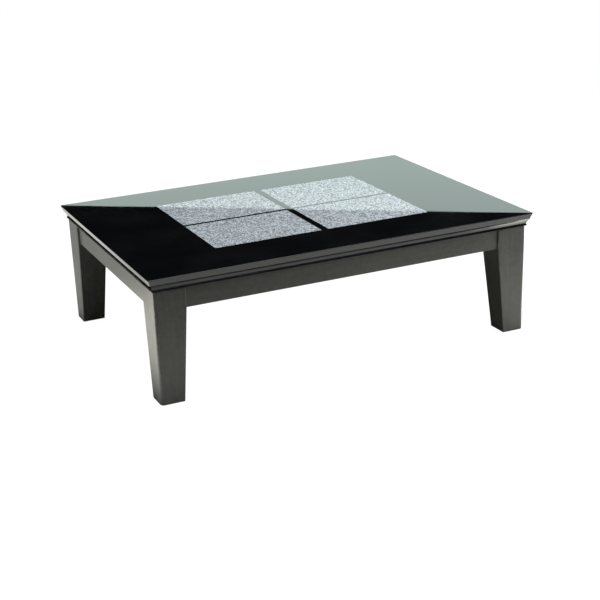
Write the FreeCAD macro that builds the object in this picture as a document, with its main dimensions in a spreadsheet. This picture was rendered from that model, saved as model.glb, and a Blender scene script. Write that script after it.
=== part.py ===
import FreeCAD, Part
import math
import os
import re

import Sketcher

# A low heated table: a mirror-finished top that lifts off a frame with four tapered legs, and an
# electric heater hung under the middle of the frame.
# X runs along the table, Y from its front to its back and Z up. The origin is on the floor under
# the middle of the table, and every length is in millimetres.

SIZES = {
    # Whole table
    "table_length": 1200,
    "table_width": 850,
    "table_height": 370,
    # Board of the top
    "board_thickness": 18,
    "board_corner_radius": 6,
    "board_arris": 1.6,
    "board_side_slope": 6,
    "inlay_length": 330,
    "inlay_width": 245,
    "inlay_gap_long": 22,
    "inlay_gap_cross": 12,
    "inlay_thickness": 0.6,
    "inlay_clearance": 0.1,
    "backing_thickness": 1,
    "backing_clearance": 1,
    # Mitred moulding under the board
    "strip_height": 22.5,
    "strip_depth": 58,
    "strip_quirk": 0.5,
    "cove_height": 16.5,
    "cove_radius": 26,
    "lip_quirk": 2,
    "lip_inset": 14,
    "lip_arris": 1,
    "cut_overrun": 5,
    # Pads between the top and the frame
    "top_pad_thickness": 2,
    "top_pad_radius": 15,
    "top_pad_inset": 46,
    # Legs
    "leg_inset": 17.5,
    "leg_top_width": 92,
    "leg_foot_width": 70,
    "leg_corner_radius": 4,
    "leg_foot_radius": 12,
    "leg_edge_radius": 3,
    "leg_seat_cut": 22,
    "foot_pad_thickness": 2,
    "foot_pad_radius": 26,
    "insert_radius": 6,
    "insert_length": 22,
    "insert_thread_radius": 4,
    # Rails between the legs
    "rail_recess": 6,
    "rail_thickness": 20,
    "rail_height": 58,
    "rail_arris": 1.5,
    "tenon_length": 10,
    "tenon_height": 25,
    "joint_clearance": 0.1,
    # Corner brackets and their fasteners
    "bracket_thickness": 2.5,
    "bracket_height": 44,
    "bracket_flange": 30,
    "bracket_screw_reach": 16,
    "bracket_screw_spacing": 24,
    "bolt_radius": 4,
    "bolt_grip": 42,
    "bolt_reach": 24,
    "bolt_clearance": 0.4,
    "thread_clearance": 0.05,
    "washer_radius": 8.5,
    "washer_thickness": 1.6,
    "nut_flats": 13,
    "nut_height": 6.5,
    "wood_screw_radius": 2,
    "wood_screw_length": 16,
    "wood_screw_head_radius": 4,
    "wood_screw_head_height": 2.6,
    # Rails that carry the heater
    "heater_opening": 300,
    "cross_rail_thickness": 22,
    "cross_rail_height": 45,
    # Heater case
    "case_depth": 48,
    "case_sheet": 1.2,
    "case_flange": 18,
    "flange_screw_reach": 120,
    # Reflector
    "reflector_drop": 22,
    "reflector_height": 20,
    "reflector_roof_side": 210,
    "reflector_sheet": 0.8,
    "reflector_clearance": 0.2,
    "shaft_hole_radius": 5,
    # Heating tube
    "tube_radius": 6,
    "tube_bore_radius": 4.8,
    "tube_bend_radius": 80,
    "tube_straight": 120,
    "tube_end": 88,
    "tube_drop": 14,
    "element_radius": 2.5,
    "holder_length": 18,
    "holder_width": 24,
    "holder_skirt": 3,
    "tube_clearance": 0.2,
    "stud_radius": 2,
    "stud_rise": 8,
    "stud_clearance": 0.3,
    # Fan
    "motor_radius": 27,
    "motor_height": 17,
    "shaft_radius": 2,
    "shaft_in_motor": 12,
    "running_clearance": 0.05,
    "impeller_drop": 8,
    "impeller_height": 12,
    "impeller_radius": 56,
    "hub_radius": 10,
    "blade_count": 6,
    "blade_thickness": 1.6,
    "blade_chord": 20,
    # Guard under the heater
    "guard_gap": 1.2,
    "guard_wall": 2.5,
    "guard_fit": 0.3,
    "guard_skirt": 8,
    "guard_drop": 8,
    "guard_floor": 3,
    "guard_rim": 20,
    "net_seat": 6,
    "net_thickness": 1.5,
    "net_rim": 4,
    "net_bar": 2.4,
    "net_holes": 16,
    "guard_screw_radius": 1.5,
    "guard_screw_length": 7,
    "guard_screw_head_radius": 3,
    "guard_screw_head_height": 2,
    "guard_screw_reach": 100,
    "guard_screw_rise": 4,
    # Electrical parts
    "inlet_width": 34,
    "inlet_height": 20,
    "inlet_depth": 24,
    "inlet_wall": 2,
    "inlet_floor": 5,
    "inlet_face": 3,
    "inlet_drop": 13,
    "pin_radius": 1.6,
    "pin_length": 15,
    "pin_spacing": 9,
    "terminal_length": 42,
    "terminal_width": 16,
    "terminal_height": 12,
    "terminal_reach": 92,
    "terminal_screw_radius": 2.4,
    "terminal_screw_spacing": 13,
    "terminal_screw_depth": 3,
    "thermostat_radius": 9,
    "thermostat_height": 9,
    "thermostat_reach": 66,
    "fuse_length": 24,
    "fuse_width": 8,
    "fuse_height": 6,
    "fuse_reach": 60,
    "wire_radius": 1.25,
    "wire_rise": 4,
    "wire_bend": 6,
    "wire_turn": 26,
}

DOC = FreeCAD.newDocument("heated_table")
SHEET = DOC.addObject("Spreadsheet::Sheet", "Sizes")
NODES = []

X_AXIS = FreeCAD.Vector(1, 0, 0)
Y_AXIS = FreeCAD.Vector(0, 1, 0)
Z_AXIS = FreeCAD.Vector(0, 0, 1)
CORNERWARD = FreeCAD.Vector(-1, -1, 0)
CENTREWARD = FreeCAD.Vector(1, 1, 0)

# Levels, from the top down
UNDER_BOARD = "(table_height - board_thickness)"
UNDER_TOP = f"({UNDER_BOARD} - strip_height)"
FRAME_TOP = f"({UNDER_TOP} - top_pad_thickness)"
RAIL_MIDDLE = f"({FRAME_TOP} - rail_height / 2)"
RAIL_BOTTOM = f"({FRAME_TOP} - rail_height)"
CROSS_MIDDLE = f"({FRAME_TOP} - cross_rail_height / 2)"
CASE_BOTTOM = f"({FRAME_TOP} - case_depth)"
REFLECTOR_TOP = f"({FRAME_TOP} - reflector_drop)"
UNDER_REFLECTOR = f"({REFLECTOR_TOP} - reflector_sheet)"
TUBE_LEVEL = f"({UNDER_REFLECTOR} - tube_drop)"
IMPELLER_TOP = f"({UNDER_REFLECTOR} - impeller_drop)"
GUARD_BOTTOM = f"({CASE_BOTTOM} - guard_drop)"
NET_LEVEL = f"({GUARD_BOTTOM} + guard_floor)"
INLET_LEVEL = f"({FRAME_TOP} - inlet_drop)"

# The board's sides lean over their foot, so rounding their top edge would take this much off its length
LEAN = "(board_side_slope / board_thickness)"
ARRIS_SHARE = f"(board_arris * (sqrt(1 + {LEAN} * {LEAN}) + {LEAN} - 1))"

# Distances in from the edge of the top, on each of its sides
STRIP_START = f"(board_side_slope - {ARRIS_SHARE} + strip_quirk)"
COVE_END = "(lip_inset + lip_quirk)"
STRIP_INNER = "(lip_inset + strip_depth)"
RAIL_OUTER = "(leg_inset + rail_recess)"
RAIL_INNER = f"({RAIL_OUTER} + rail_thickness)"
LEG_INNER = "(leg_inset + leg_top_width)"
FOOT_MIDDLE = "(leg_inset + leg_foot_width / 2)"

# All over a leg's flat seat for its bracket, the distances in from the two edges add up to this
SEAT = f"(2 * {LEG_INNER} - leg_seat_cut)"
FLANGE_START = f"({SEAT} - {RAIL_INNER})"

# Plan of the heater, from the opening that it hangs in
CROSS_OUTER = "(heater_opening / 2 + cross_rail_thickness)"
GUARD_HALF = "(heater_opening / 2 - guard_gap)"
CASE_HALF = f"({GUARD_HALF} - guard_wall - guard_fit)"
CASE_SIDE = f"(2 * {CASE_HALF})"
CASE_INSIDE = f"({CASE_SIDE} - 2 * case_sheet)"
WELL_SIDE = f"({CASE_SIDE} - 2 * (guard_rim - net_seat))"


def fill_sheet():
    """Writes every size and its name into the sheet."""
    for row, (alias, value) in enumerate(SIZES.items(), start=1):
        SHEET.set(f"A{row}", alias)
        SHEET.set(f"B{row}", str(value))
        SHEET.setAlias(f"B{row}", alias)
    DOC.recompute()


def formula(text):
    """The expression that reads each size named in the text from the sheet."""
    return re.sub(r"[a-z_]+", lambda word: f"Sizes.{word[0]}" if word[0] in SIZES else word[0], text)


def value(text):
    return float(SHEET.evalExpression(formula(text)))


def bind(piece, **formulas):
    for name, text in formulas.items():
        piece.setExpression(name, formula(text))


def place(piece, x, y, z, rotation=None):
    """Binds the piece's place to three formulas."""
    if rotation is not None:
        piece.Placement = FreeCAD.Placement(FreeCAD.Vector(), rotation)
    for axis, text in zip("xyz", (x, y, z)):
        piece.setExpression(f"Placement.Base.{axis}", formula(text))


def from_left(inset):
    return f"(-table_length / 2 + {inset})"


def from_front(inset):
    return f"(-table_width / 2 + {inset})"


def node(piece, label):
    """Names a finished sub-part and lists it for export."""
    piece.Label = label
    NODES.append(piece)
    return piece


# Sketches and features


def new_body(name):
    return DOC.addObject("PartDesign::Body", name)


def sketch_on(body, role, offset="0"):
    """A sketch on one of the body's own origin planes, moved along that plane's normal."""
    sketch = body.newObject("Sketcher::SketchObject", f"{body.Name}_sketch")
    plane = next(plane for plane in body.Origin.OriginFeatures if plane.Role == role)
    sketch.AttachmentSupport = [(plane, "")]
    sketch.MapMode = "FlatFace"
    sketch.setExpression("AttachmentOffset.Base.z", formula(offset))
    return sketch


def fix_point(sketch, geometry, end, corner):
    """Ties a point of the sketch to two formulas."""
    for kind, text in zip(("DistanceX", "DistanceY"), corner):
        rule = sketch.addConstraint(Sketcher.Constraint(kind, -1, 1, geometry, end, value(text)))
        sketch.setExpression(f"Constraints[{rule}]", formula(text))


def fix_radius(sketch, geometry, text):
    rule = sketch.addConstraint(Sketcher.Constraint("Radius", geometry, value(text)))
    sketch.setExpression(f"Constraints[{rule}]", formula(text))


def arc_between(start, end, radius, left):
    """The short arc from start to end that turns left or right."""
    chord = end - start
    reach = math.sqrt(max(radius**2 - chord.Length**2 / 4, 0))
    side = FreeCAD.Vector(-chord.y, chord.x, 0).normalize()
    centre = (start + end) / 2 + side * (reach if left else -reach)
    first, last = (start, end) if left else (end, start)
    angles = [math.atan2(point.y - centre.y, point.x - centre.x) for point in (first, last)]
    return Part.ArcOfCircle(Part.Circle(centre, Z_AXIS, radius), *angles)


def outline(sketch, corners):
    """Draws a closed outline through corners (x, y) or (x, y, turn, radius).

    A turn, "left" or "right", makes the run that arrives at that corner an arc.
    """
    points = [FreeCAD.Vector(value(corner[0]), value(corner[1]), 0) for corner in corners]
    runs = []
    for index, corner in enumerate(corners):
        start, end = points[index - 1], points[index]
        if len(corner) == 2:
            runs.append((sketch.addGeometry(Part.LineSegment(start, end)), 1, 2))
            continue
        turn, radius = corner[2:]
        left = turn == "left"
        geometry = sketch.addGeometry(arc_between(start, end, value(radius), left))
        fix_radius(sketch, geometry, radius)
        runs.append((geometry, 1, 2) if left else (geometry, 2, 1))
    for index, (geometry, first, last) in enumerate(runs):
        before, _, before_last = runs[index - 1]
        sketch.addConstraint(Sketcher.Constraint("Coincident", before, before_last, geometry, first))
        fix_point(sketch, geometry, last, corners[index][:2])


def rectangle(sketch, left, right, low, high):
    outline(sketch, [(left, low), (right, low), (right, high), (left, high)])


def square(sketch, side):
    rectangle(sketch, f"-{side} / 2", f"{side} / 2", f"-{side} / 2", f"{side} / 2")


def circle(sketch, x, y, radius):
    centre = FreeCAD.Vector(value(x), value(y), 0)
    geometry = sketch.addGeometry(Part.Circle(centre, Z_AXIS, value(radius)))
    fix_point(sketch, geometry, 3, (x, y))
    fix_radius(sketch, geometry, radius)


def pad(body, sketch, length, backward=False, both_ways=False):
    """Extrudes a sketch and recomputes the body."""
    feature = body.newObject("PartDesign::Pad", f"{body.Name}_pad")
    feature.Profile = sketch
    feature.Reversed = backward
    feature.Midplane = both_ways
    bind(feature, Length=length)
    DOC.recompute()
    return feature


def pocket(body, sketch, depth=None, backward=False):
    """Cuts a sketch to a depth, or all the way both ways, and sees that it took something away."""
    whole = body.Shape.Volume
    feature = body.newObject("PartDesign::Pocket", f"{body.Name}_pocket")
    feature.Profile = sketch
    feature.Reversed = backward
    if depth is None:
        feature.Type = "ThroughAll"
        feature.Midplane = True
    else:
        bind(feature, Length=depth)
    DOC.recompute()
    if not body.Shape.Volume < whole:
        raise RuntimeError(f"{feature.Name} cuts nothing")
    return feature


def round_edges(body, radius, wanted):
    """Rounds the edges of the body that the test wanted picks."""
    tip = body.Tip
    names = [f"Edge{number}" for number, edge in enumerate(body.Shape.Edges, start=1) if wanted(edge)]
    feature = body.newObject("PartDesign::Fillet", f"{body.Name}_fillet")
    feature.Base = (tip, names)
    bind(feature, Radius=radius)
    DOC.recompute()


def at_level(text):
    """A test for the edges that lie flat at one height."""
    level = value(text)
    return lambda edge: all(abs(vertex.Z - level) < 1e-4 for vertex in edge.Vertexes)


def shorter_than(text):
    """A test for the edges below a length."""
    return lambda edge: edge.Length < value(text)


# Whole pieces from primitives


def box(name, low, high):
    """A block between two corners, each given as three formulas."""
    block = DOC.addObject("Part::Box", name)
    sides = [f"({end}) - ({start})" for start, end in zip(low, high)]
    bind(block, Length=sides[0], Width=sides[1], Height=sides[2])
    place(block, *low)
    return block


def rod(name, radius, length, start, direction):
    """A round bar that runs from start along a direction."""
    bar = DOC.addObject("Part::Cylinder", name)
    bind(bar, Radius=radius, Height=length)
    place(bar, *start, FreeCAD.Rotation(Z_AXIS, direction))
    return bar


def group(name, pieces):
    bundle = DOC.addObject("Part::Compound", name)
    bundle.Links = pieces
    return bundle


def cut(name, base, tools):
    """Takes the tools, a list of solids, out of the base."""
    result = DOC.addObject("Part::Cut", name)
    result.Base = base
    result.Tool = group(f"{name}_tools", tools) if len(tools) > 1 else tools[0]
    DOC.recompute()
    if not result.Shape.Volume < base.Shape.Volume:
        raise RuntimeError(f"{name} loses nothing to its tools")
    return result


def fuse(name, pieces):
    result = DOC.addObject("Part::MultiFuse", name)
    result.Shapes = pieces
    return result


def mirrored(piece, normal, name):
    """The piece seen in a mirror through the middle of the table."""
    copy = DOC.addObject("Part::Mirroring", name)
    copy.Source = piece
    copy.Normal = normal
    return copy


def both_ends(piece, normal):
    """The piece and its mirror image."""
    return [piece, mirrored(piece, normal, f"{piece.Name}_mirror")]


def all_corners(pieces):
    """The pieces of one corner, repeated at the other three."""
    corner = group(f"{pieces[0].Name}_corner", pieces) if len(pieces) > 1 else pieces[0]
    side = group(f"{corner.Name}_side", both_ends(corner, X_AXIS))
    return both_ends(side, Y_AXIS)


def four_nodes(piece, name):
    """Makes a front left piece a node, and its three mirror images too."""
    node(piece, f"{name}_front_left")
    right = node(mirrored(piece, X_AXIS, f"{name}_right"), f"{name}_front_right")
    node(mirrored(piece, Y_AXIS, f"{name}_back"), f"{name}_back_left")
    node(mirrored(right, Y_AXIS, f"{name}_back_opposite"), f"{name}_back_right")


def screw(name, kind, start, direction):
    """A screw whose head lies on the point start and whose shank runs along the direction."""
    shank = rod(f"{name}_shank", f"{kind}_radius", f"{kind}_length", start, direction)
    head = DOC.addObject("Part::Cone", f"{name}_head")
    bind(
        head,
        Radius1=f"{kind}_head_radius",
        Radius2=f"{kind}_head_radius - {kind}_head_height / 2",
        Height=f"{kind}_head_height",
    )
    place(head, *start, FreeCAD.Rotation(Z_AXIS, -direction))
    return fuse(name, [shank, head])


def screw_hole(name, kind, start, direction):
    """The hole that the same screw stands in."""
    width = f"{kind}_radius + thread_clearance"
    return rod(name, width, f"{kind}_length + thread_clearance", start, direction)


# The top


def inlay_places():
    """The four low corners of the inlaid panels, by the name of each panel."""
    columns = {"left": "(-inlay_gap_long / 2 - inlay_length)", "right": "(inlay_gap_long / 2)"}
    rows = {"front": "(-inlay_gap_cross / 2 - inlay_width)", "back": "(inlay_gap_cross / 2)"}
    return {f"{row}_{column}": (x, y) for row, y in rows.items() for column, x in columns.items()}


def make_board():
    """The board: sides that slope in towards its underside, and shallow beds for the panels."""
    body = new_body("board")
    slab = body.newObject("PartDesign::AdditiveWedge", "board_slab")
    side, end = f"(table_length / 2 + {ARRIS_SHARE})", f"(table_width / 2 + {ARRIS_SHARE})"
    bind(slab, Ymin="0 * board_thickness", Ymax="board_thickness")
    bind(slab, Xmin=f"board_side_slope - {side}", Xmax=f"{side} - board_side_slope")
    bind(slab, Zmin=f"board_side_slope - {end}", Zmax=f"{end} - board_side_slope")
    bind(slab, X2min=f"-{side}", X2max=side, Z2min=f"-{end}", Z2max=end)
    place(slab, "0", "0", UNDER_BOARD, FreeCAD.Rotation(X_AXIS, 90))
    DOC.recompute()
    round_edges(body, "board_corner_radius", shorter_than("2 * board_thickness"))
    round_edges(body, "board_arris", at_level("table_height"))
    beds = sketch_on(body, "XY_Plane", "table_height")
    for x, y in inlay_places().values():
        rectangle(beds, x, f"{x} + inlay_length", y, f"{y} + inlay_width")
    pocket(body, beds, "inlay_thickness")
    node(body, "top_board")


def make_inlays():
    """Thin speckled panels, flush with the board."""
    gap = "inlay_clearance"
    for name, (x, y) in inlay_places().items():
        low = (f"{x} + {gap}", f"{y} + {gap}", "table_height - inlay_thickness")
        high = (f"{x} + inlay_length - {gap}", f"{y} + inlay_width - {gap}", "table_height")
        node(box(f"panel_{name}", low, high), f"inlay_{name}")


def strip_profile(sketch, edge):
    """Cove, quirk and lip of the moulding, seen along it, with its outer side to the left."""
    top, bottom = UNDER_BOARD, UNDER_TOP
    lip_top = f"({top} - cove_height)"
    outline(
        sketch,
        [
            (edge(STRIP_INNER), top),
            (edge(STRIP_START), top),
            (edge(COVE_END), lip_top, "right", "cove_radius"),
            (edge("lip_inset + lip_arris"), lip_top),
            (edge("lip_inset"), f"{lip_top} - lip_arris", "left", "lip_arris"),
            (edge("lip_inset"), f"{bottom} + lip_arris"),
            (edge("lip_inset + lip_arris"), bottom, "left", "lip_arris"),
            (edge(STRIP_INNER), bottom),
        ],
    )


def moulding(name, role, edge, end, length):
    """A length of moulding along one edge of the top, with a mitre at both ends."""
    body = new_body(name)
    profile = sketch_on(body, role)
    strip_profile(profile, edge)
    pad(body, profile, length, both_ways=True)
    waste = sketch_on(body, "XY_Plane", UNDER_BOARD)
    past = f"({STRIP_INNER} + cut_overrun)"
    triangle = [("-cut_overrun", "-cut_overrun"), (past, past), ("-cut_overrun", past)]
    for sign in (1, -1):
        corners = [(f"{sign} * {end(along)}", edge(across)) for along, across in triangle]
        outline(waste, [corner if role == "YZ_Plane" else corner[::-1] for corner in corners])
    pocket(body, waste)
    return body


def make_strips():
    """Four lengths of moulding, mitred where they meet."""
    front = moulding("moulding_front", "YZ_Plane", from_front, from_left, "table_length")
    left = moulding("moulding_left", "XZ_Plane", from_left, from_front, "table_width")
    node(front, "edge_strip_front")
    node(mirrored(front, Y_AXIS, "moulding_back"), "edge_strip_back")
    node(left, "edge_strip_left")
    node(mirrored(left, X_AXIS, "moulding_right"), "edge_strip_right")


def make_backing():
    """The thin sheet that covers the underside of the board."""
    inset = f"({STRIP_INNER} + backing_clearance)"
    low = (from_left(inset), from_front(inset), f"{UNDER_BOARD} - backing_thickness")
    high = (f"-{from_left(inset)}", f"-{from_front(inset)}", UNDER_BOARD)
    node(box("backing", low, high), "underside_sheet")


# The frame


def leg_section(body, level, width, outer_radius):
    """A square section with its outer corner at the leg's fixed corner of the table."""
    sketch = sketch_on(body, "XY_Plane", level)
    soft = "leg_edge_radius"
    near, far = "leg_inset", f"(leg_inset + {width})"
    outline(
        sketch,
        [
            (from_left(f"{near} + {outer_radius}"), from_front(near), "left", outer_radius),
            (from_left(f"{far} - {soft}"), from_front(near)),
            (from_left(far), from_front(f"{near} + {soft}"), "left", soft),
            (from_left(far), from_front(f"{far} - {soft}")),
            (from_left(f"{far} - {soft}"), from_front(far), "left", soft),
            (from_left(f"{near} + {soft}"), from_front(far)),
            (from_left(near), from_front(f"{far} - {soft}"), "left", soft),
            (from_left(near), from_front(f"{near} + {outer_radius}")),
        ],
    )
    return sketch


def make_legs():
    """A square block where the rails meet it, tapered below on its two inner sides."""
    body = new_body("leg")
    foot = leg_section(body, "foot_pad_thickness", "leg_foot_width", "leg_foot_radius")
    knee = leg_section(body, RAIL_BOTTOM, "leg_top_width", "leg_corner_radius")
    taper = body.newObject("PartDesign::AdditiveLoft", "leg_taper")
    taper.Profile = foot
    taper.Sections = [knee]
    taper.Ruled = True
    DOC.recompute()
    block = leg_section(body, RAIL_BOTTOM, "leg_top_width", "leg_corner_radius")
    pad(body, block, "rail_height")
    seat = sketch_on(body, "XY_Plane", FRAME_TOP)
    past = f"({LEG_INNER} + cut_overrun)"
    start = f"({SEAT} - {past})"
    outline(
        seat,
        [
            (from_left(start), from_front(past)),
            (from_left(past), from_front(start)),
            (from_left(past), from_front(past)),
        ],
    )
    pocket(body, seat, "rail_height")
    bolt_hole = diagonal_rod("leg_bolt_hole", "bolt_radius + thread_clearance", "-bolt_grip", "bolt_grip")
    place_foot = (from_left(FOOT_MIDDLE), from_front(FOOT_MIDDLE), "foot_pad_thickness")
    insert_hole = rod(
        "leg_insert_hole", "insert_radius + thread_clearance", "insert_length", place_foot, Z_AXIS
    )
    four_nodes(cut("drilled_leg", body, [bolt_hole, insert_hole]), "leg")


def diagonal_place(distance):
    """The point on the front left leg's diagonal at a distance from the bracket's seat."""
    inset = f"({SEAT} / 2 + ({distance}) / sqrt(2))"
    return from_left(inset), from_front(inset), RAIL_MIDDLE


def diagonal_rod(name, radius, start, length):
    return rod(name, radius, length, diagonal_place(start), CENTREWARD)


def flange_screws(kind_of_piece):
    """The screws, or their holes, of the front left bracket: on the front rail, then the left one."""
    along, across = f"({FLANGE_START} + bracket_screw_reach)", f"({RAIL_INNER} + bracket_thickness)"
    on_front, on_left = [], []
    for number, side in enumerate((-1, 1)):
        level = f"{RAIL_MIDDLE} + {side} * bracket_screw_spacing / 2"
        front_place = (from_left(along), from_front(across), level)
        left_place = (from_left(across), from_front(along), level)
        name = kind_of_piece.__name__
        on_front.append(kind_of_piece(f"{name}_front_{number}", "wood_screw", front_place, -Y_AXIS))
        on_left.append(kind_of_piece(f"{name}_left_{number}", "wood_screw", left_place, -X_AXIS))
    return on_front, on_left


def make_long_rails(front_holes):
    """The front and back rails, with mortises for the rails that carry the heater."""
    body = new_body("long_rail")
    face = sketch_on(body, "XZ_Plane", f"-{from_front(RAIL_OUTER)}")
    rectangle(face, from_left(LEG_INNER), f"-{from_left(LEG_INNER)}", RAIL_BOTTOM, FRAME_TOP)
    pad(body, face, "rail_thickness", backward=True)
    round_edges(body, "rail_arris", long_edges_at(RAIL_BOTTOM))
    inner_face = sketch_on(body, "XZ_Plane", f"-{from_front(RAIL_INNER)}")
    slack = "joint_clearance"
    low = f"{CROSS_MIDDLE} - tenon_height / 2 - {slack}"
    high = f"{CROSS_MIDDLE} + tenon_height / 2 + {slack}"
    near, far = f"heater_opening / 2 - {slack}", f"{CROSS_OUTER} + {slack}"
    rectangle(inner_face, near, far, low, high)
    rectangle(inner_face, f"-({far})", f"-({near})", low, high)
    pocket(body, inner_face, f"tenon_length + {slack}", backward=True)
    holes = both_ends(group("front_flange_holes", front_holes), X_AXIS)
    front = node(cut("drilled_long_rail", body, holes), "rail_front")
    node(mirrored(front, Y_AXIS, "long_rail_back"), "rail_back")


def long_edges_at(text):
    """A test for the long edges at one height."""
    flat = at_level(text)
    return lambda edge: flat(edge) and edge.Length > value("rail_height")


def make_end_rails(left_holes):
    """The two shorter rails, at the ends of the table."""
    body = new_body("end_rail")
    face = sketch_on(body, "YZ_Plane", from_left(RAIL_OUTER))
    rectangle(face, from_front(LEG_INNER), f"-{from_front(LEG_INNER)}", RAIL_BOTTOM, FRAME_TOP)
    pad(body, face, "rail_thickness")
    round_edges(body, "rail_arris", long_edges_at(RAIL_BOTTOM))
    holes = both_ends(group("left_flange_holes", left_holes), Y_AXIS)
    left = node(cut("drilled_end_rail", body, holes), "rail_left")
    node(mirrored(left, X_AXIS, "end_rail_right"), "rail_right")


def make_brackets():
    """A bent plate across each corner, seated on the leg and screwed to both rails."""
    body = new_body("bracket")
    plan = sketch_on(body, "XY_Plane", f"{RAIL_MIDDLE} - bracket_height / 2")
    inner = f"({RAIL_INNER} + bracket_thickness)"
    bend = f"({FLANGE_START} + bracket_thickness * (sqrt(2) - 1))"
    end = f"({FLANGE_START} + bracket_flange)"
    corners = [
        (RAIL_INNER, end),
        (RAIL_INNER, FLANGE_START),
        (FLANGE_START, RAIL_INNER),
        (end, RAIL_INNER),
        (end, inner),
        (bend, inner),
        (inner, bend),
        (inner, end),
    ]
    outline(plan, [(from_left(x), from_front(y)) for x, y in corners])
    pad(body, plan, "bracket_height")
    on_front, on_left = flange_screws(screw_hole)
    width = "bolt_radius + bolt_clearance"
    bolt_hole = diagonal_rod("bracket_bolt_hole", width, "-cut_overrun", "bolt_reach")
    four_nodes(cut("drilled_bracket", body, on_front + on_left + [bolt_hole]), "corner_bracket")
    return on_front, on_left


def make_leg_fasteners():
    """A bolt with a wood thread in each leg, and the washer and nut that draw the leg home."""
    bolt = diagonal_rod("bolt", "bolt_radius", "-bolt_grip", "bolt_grip + bolt_reach")
    node(group("bolts", all_corners([bolt])), "hanger_bolts")
    seat = "bracket_thickness"
    bore = diagonal_rod("fastener_bore", "bolt_radius + thread_clearance", "0", "bolt_reach")
    disc = diagonal_rod("washer_disc", "washer_radius", seat, "washer_thickness")
    washer = cut("washer", disc, [bore])
    node(group("washers", all_corners([washer])), "leg_washers")
    hexagon = DOC.addObject("Part::Prism", "nut_hexagon")
    hexagon.Polygon = 6
    bind(hexagon, Circumradius="nut_flats / sqrt(3)", Height="nut_height")
    place(hexagon, *diagonal_place(f"{seat} + washer_thickness"), FreeCAD.Rotation(Z_AXIS, CENTREWARD))
    nut = cut("nut", hexagon, [bore])
    node(group("nuts", all_corners([nut])), "leg_nuts")
    on_front, on_left = flange_screws(screw)
    node(group("flange_screws", all_corners(on_front + on_left)), "bracket_screws")


def make_cross_rails():
    """Two rails from front to back that carry the heater, tenoned into the long rails."""
    body = new_body("cross_rail")
    side = sketch_on(body, "YZ_Plane", f"-{CROSS_OUTER}")
    shoulder = from_front(RAIL_INNER)
    end = from_front(f"{RAIL_INNER} - tenon_length")
    bottom = f"({FRAME_TOP} - cross_rail_height)"
    low, high = f"({CROSS_MIDDLE} - tenon_height / 2)", f"({CROSS_MIDDLE} + tenon_height / 2)"
    tenon = [(shoulder, high), (end, high), (end, low), (shoulder, low)]
    front_half = [(shoulder, FRAME_TOP), *tenon, (shoulder, bottom)]
    back_half = [(f"-{y}", z) for y, z in reversed(front_half)]
    outline(side, front_half + back_half)
    pad(body, side, "cross_rail_thickness")
    hole = flange_screw_piece(screw_hole)
    holes = both_ends(hole, Y_AXIS)
    left = node(cut("drilled_cross_rail", body, holes), "heater_rail_left")
    node(mirrored(left, X_AXIS, "cross_rail_right"), "heater_rail_right")


def flange_screw_piece(kind_of_piece):
    """The screw, or its hole, at the front left corner of the heater case."""
    x = "-(heater_opening / 2 + cross_rail_thickness / 2)"
    start = (x, "-flange_screw_reach", f"{FRAME_TOP} + case_sheet")
    return kind_of_piece(f"heater_{kind_of_piece.__name__}", "wood_screw", start, -Z_AXIS)


def make_pads_and_inserts():
    """Soft pads on the legs, glides under them, and a threaded insert in each foot."""
    middle = (from_left("top_pad_inset"), from_front("top_pad_inset"), FRAME_TOP)
    pad_disc = rod("top_pad", "top_pad_radius", "top_pad_thickness", middle, Z_AXIS)
    node(group("soft_pads", all_corners([pad_disc])), "top_pads")
    floor = (from_left(FOOT_MIDDLE), from_front(FOOT_MIDDLE), "0")
    foot = (*floor[:2], "foot_pad_thickness")
    glide = rod("glide_disc", "foot_pad_radius", "foot_pad_thickness", floor, Z_AXIS)
    way_in = rod("glide_hole", "insert_radius", "foot_pad_thickness", floor, Z_AXIS)
    node(group("glides", all_corners([cut("glide", glide, [way_in])])), "foot_pads")
    sleeve = rod("insert_sleeve", "insert_radius", "insert_length", foot, Z_AXIS)
    thread = rod("insert_thread", "insert_thread_radius", "insert_length", foot, Z_AXIS)
    node(group("inserts", all_corners([cut("insert", sleeve, [thread])])), "foot_inserts")


# The heater


def make_case():
    """A folded steel tray, open below, whose side flanges lie on the two heater rails."""
    body = new_body("case")
    block = sketch_on(body, "XY_Plane", CASE_BOTTOM)
    square(block, CASE_SIDE)
    pad(body, block, "case_depth + case_sheet")
    inside = sketch_on(body, "XY_Plane", CASE_BOTTOM)
    square(inside, CASE_INSIDE)
    pocket(body, inside, "case_depth", backward=True)
    roof = sketch_on(body, "XY_Plane", FRAME_TOP)
    reach = "(heater_opening / 2 + case_flange)"
    rectangle(roof, f"-{reach}", reach, f"-{CASE_HALF}", CASE_HALF)
    pad(body, roof, "case_sheet")
    window = sketch_on(body, "XZ_Plane", f"-({CASE_HALF} + cut_overrun)")
    half, rise = "(inlet_width / 2 + joint_clearance)", "(inlet_height / 2 + joint_clearance)"
    rectangle(window, f"-{half}", half, f"{INLET_LEVEL} - {rise}", f"{INLET_LEVEL} + {rise}")
    pocket(body, window, "2 * cut_overrun", backward=True)
    side = both_ends(flange_screw_piece(screw_hole), X_AXIS)
    holes = both_ends(group("case_holes_front", side), Y_AXIS) + guard_pieces(screw_hole)
    node(cut("drilled_case", body, holes), "heater_case")


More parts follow.
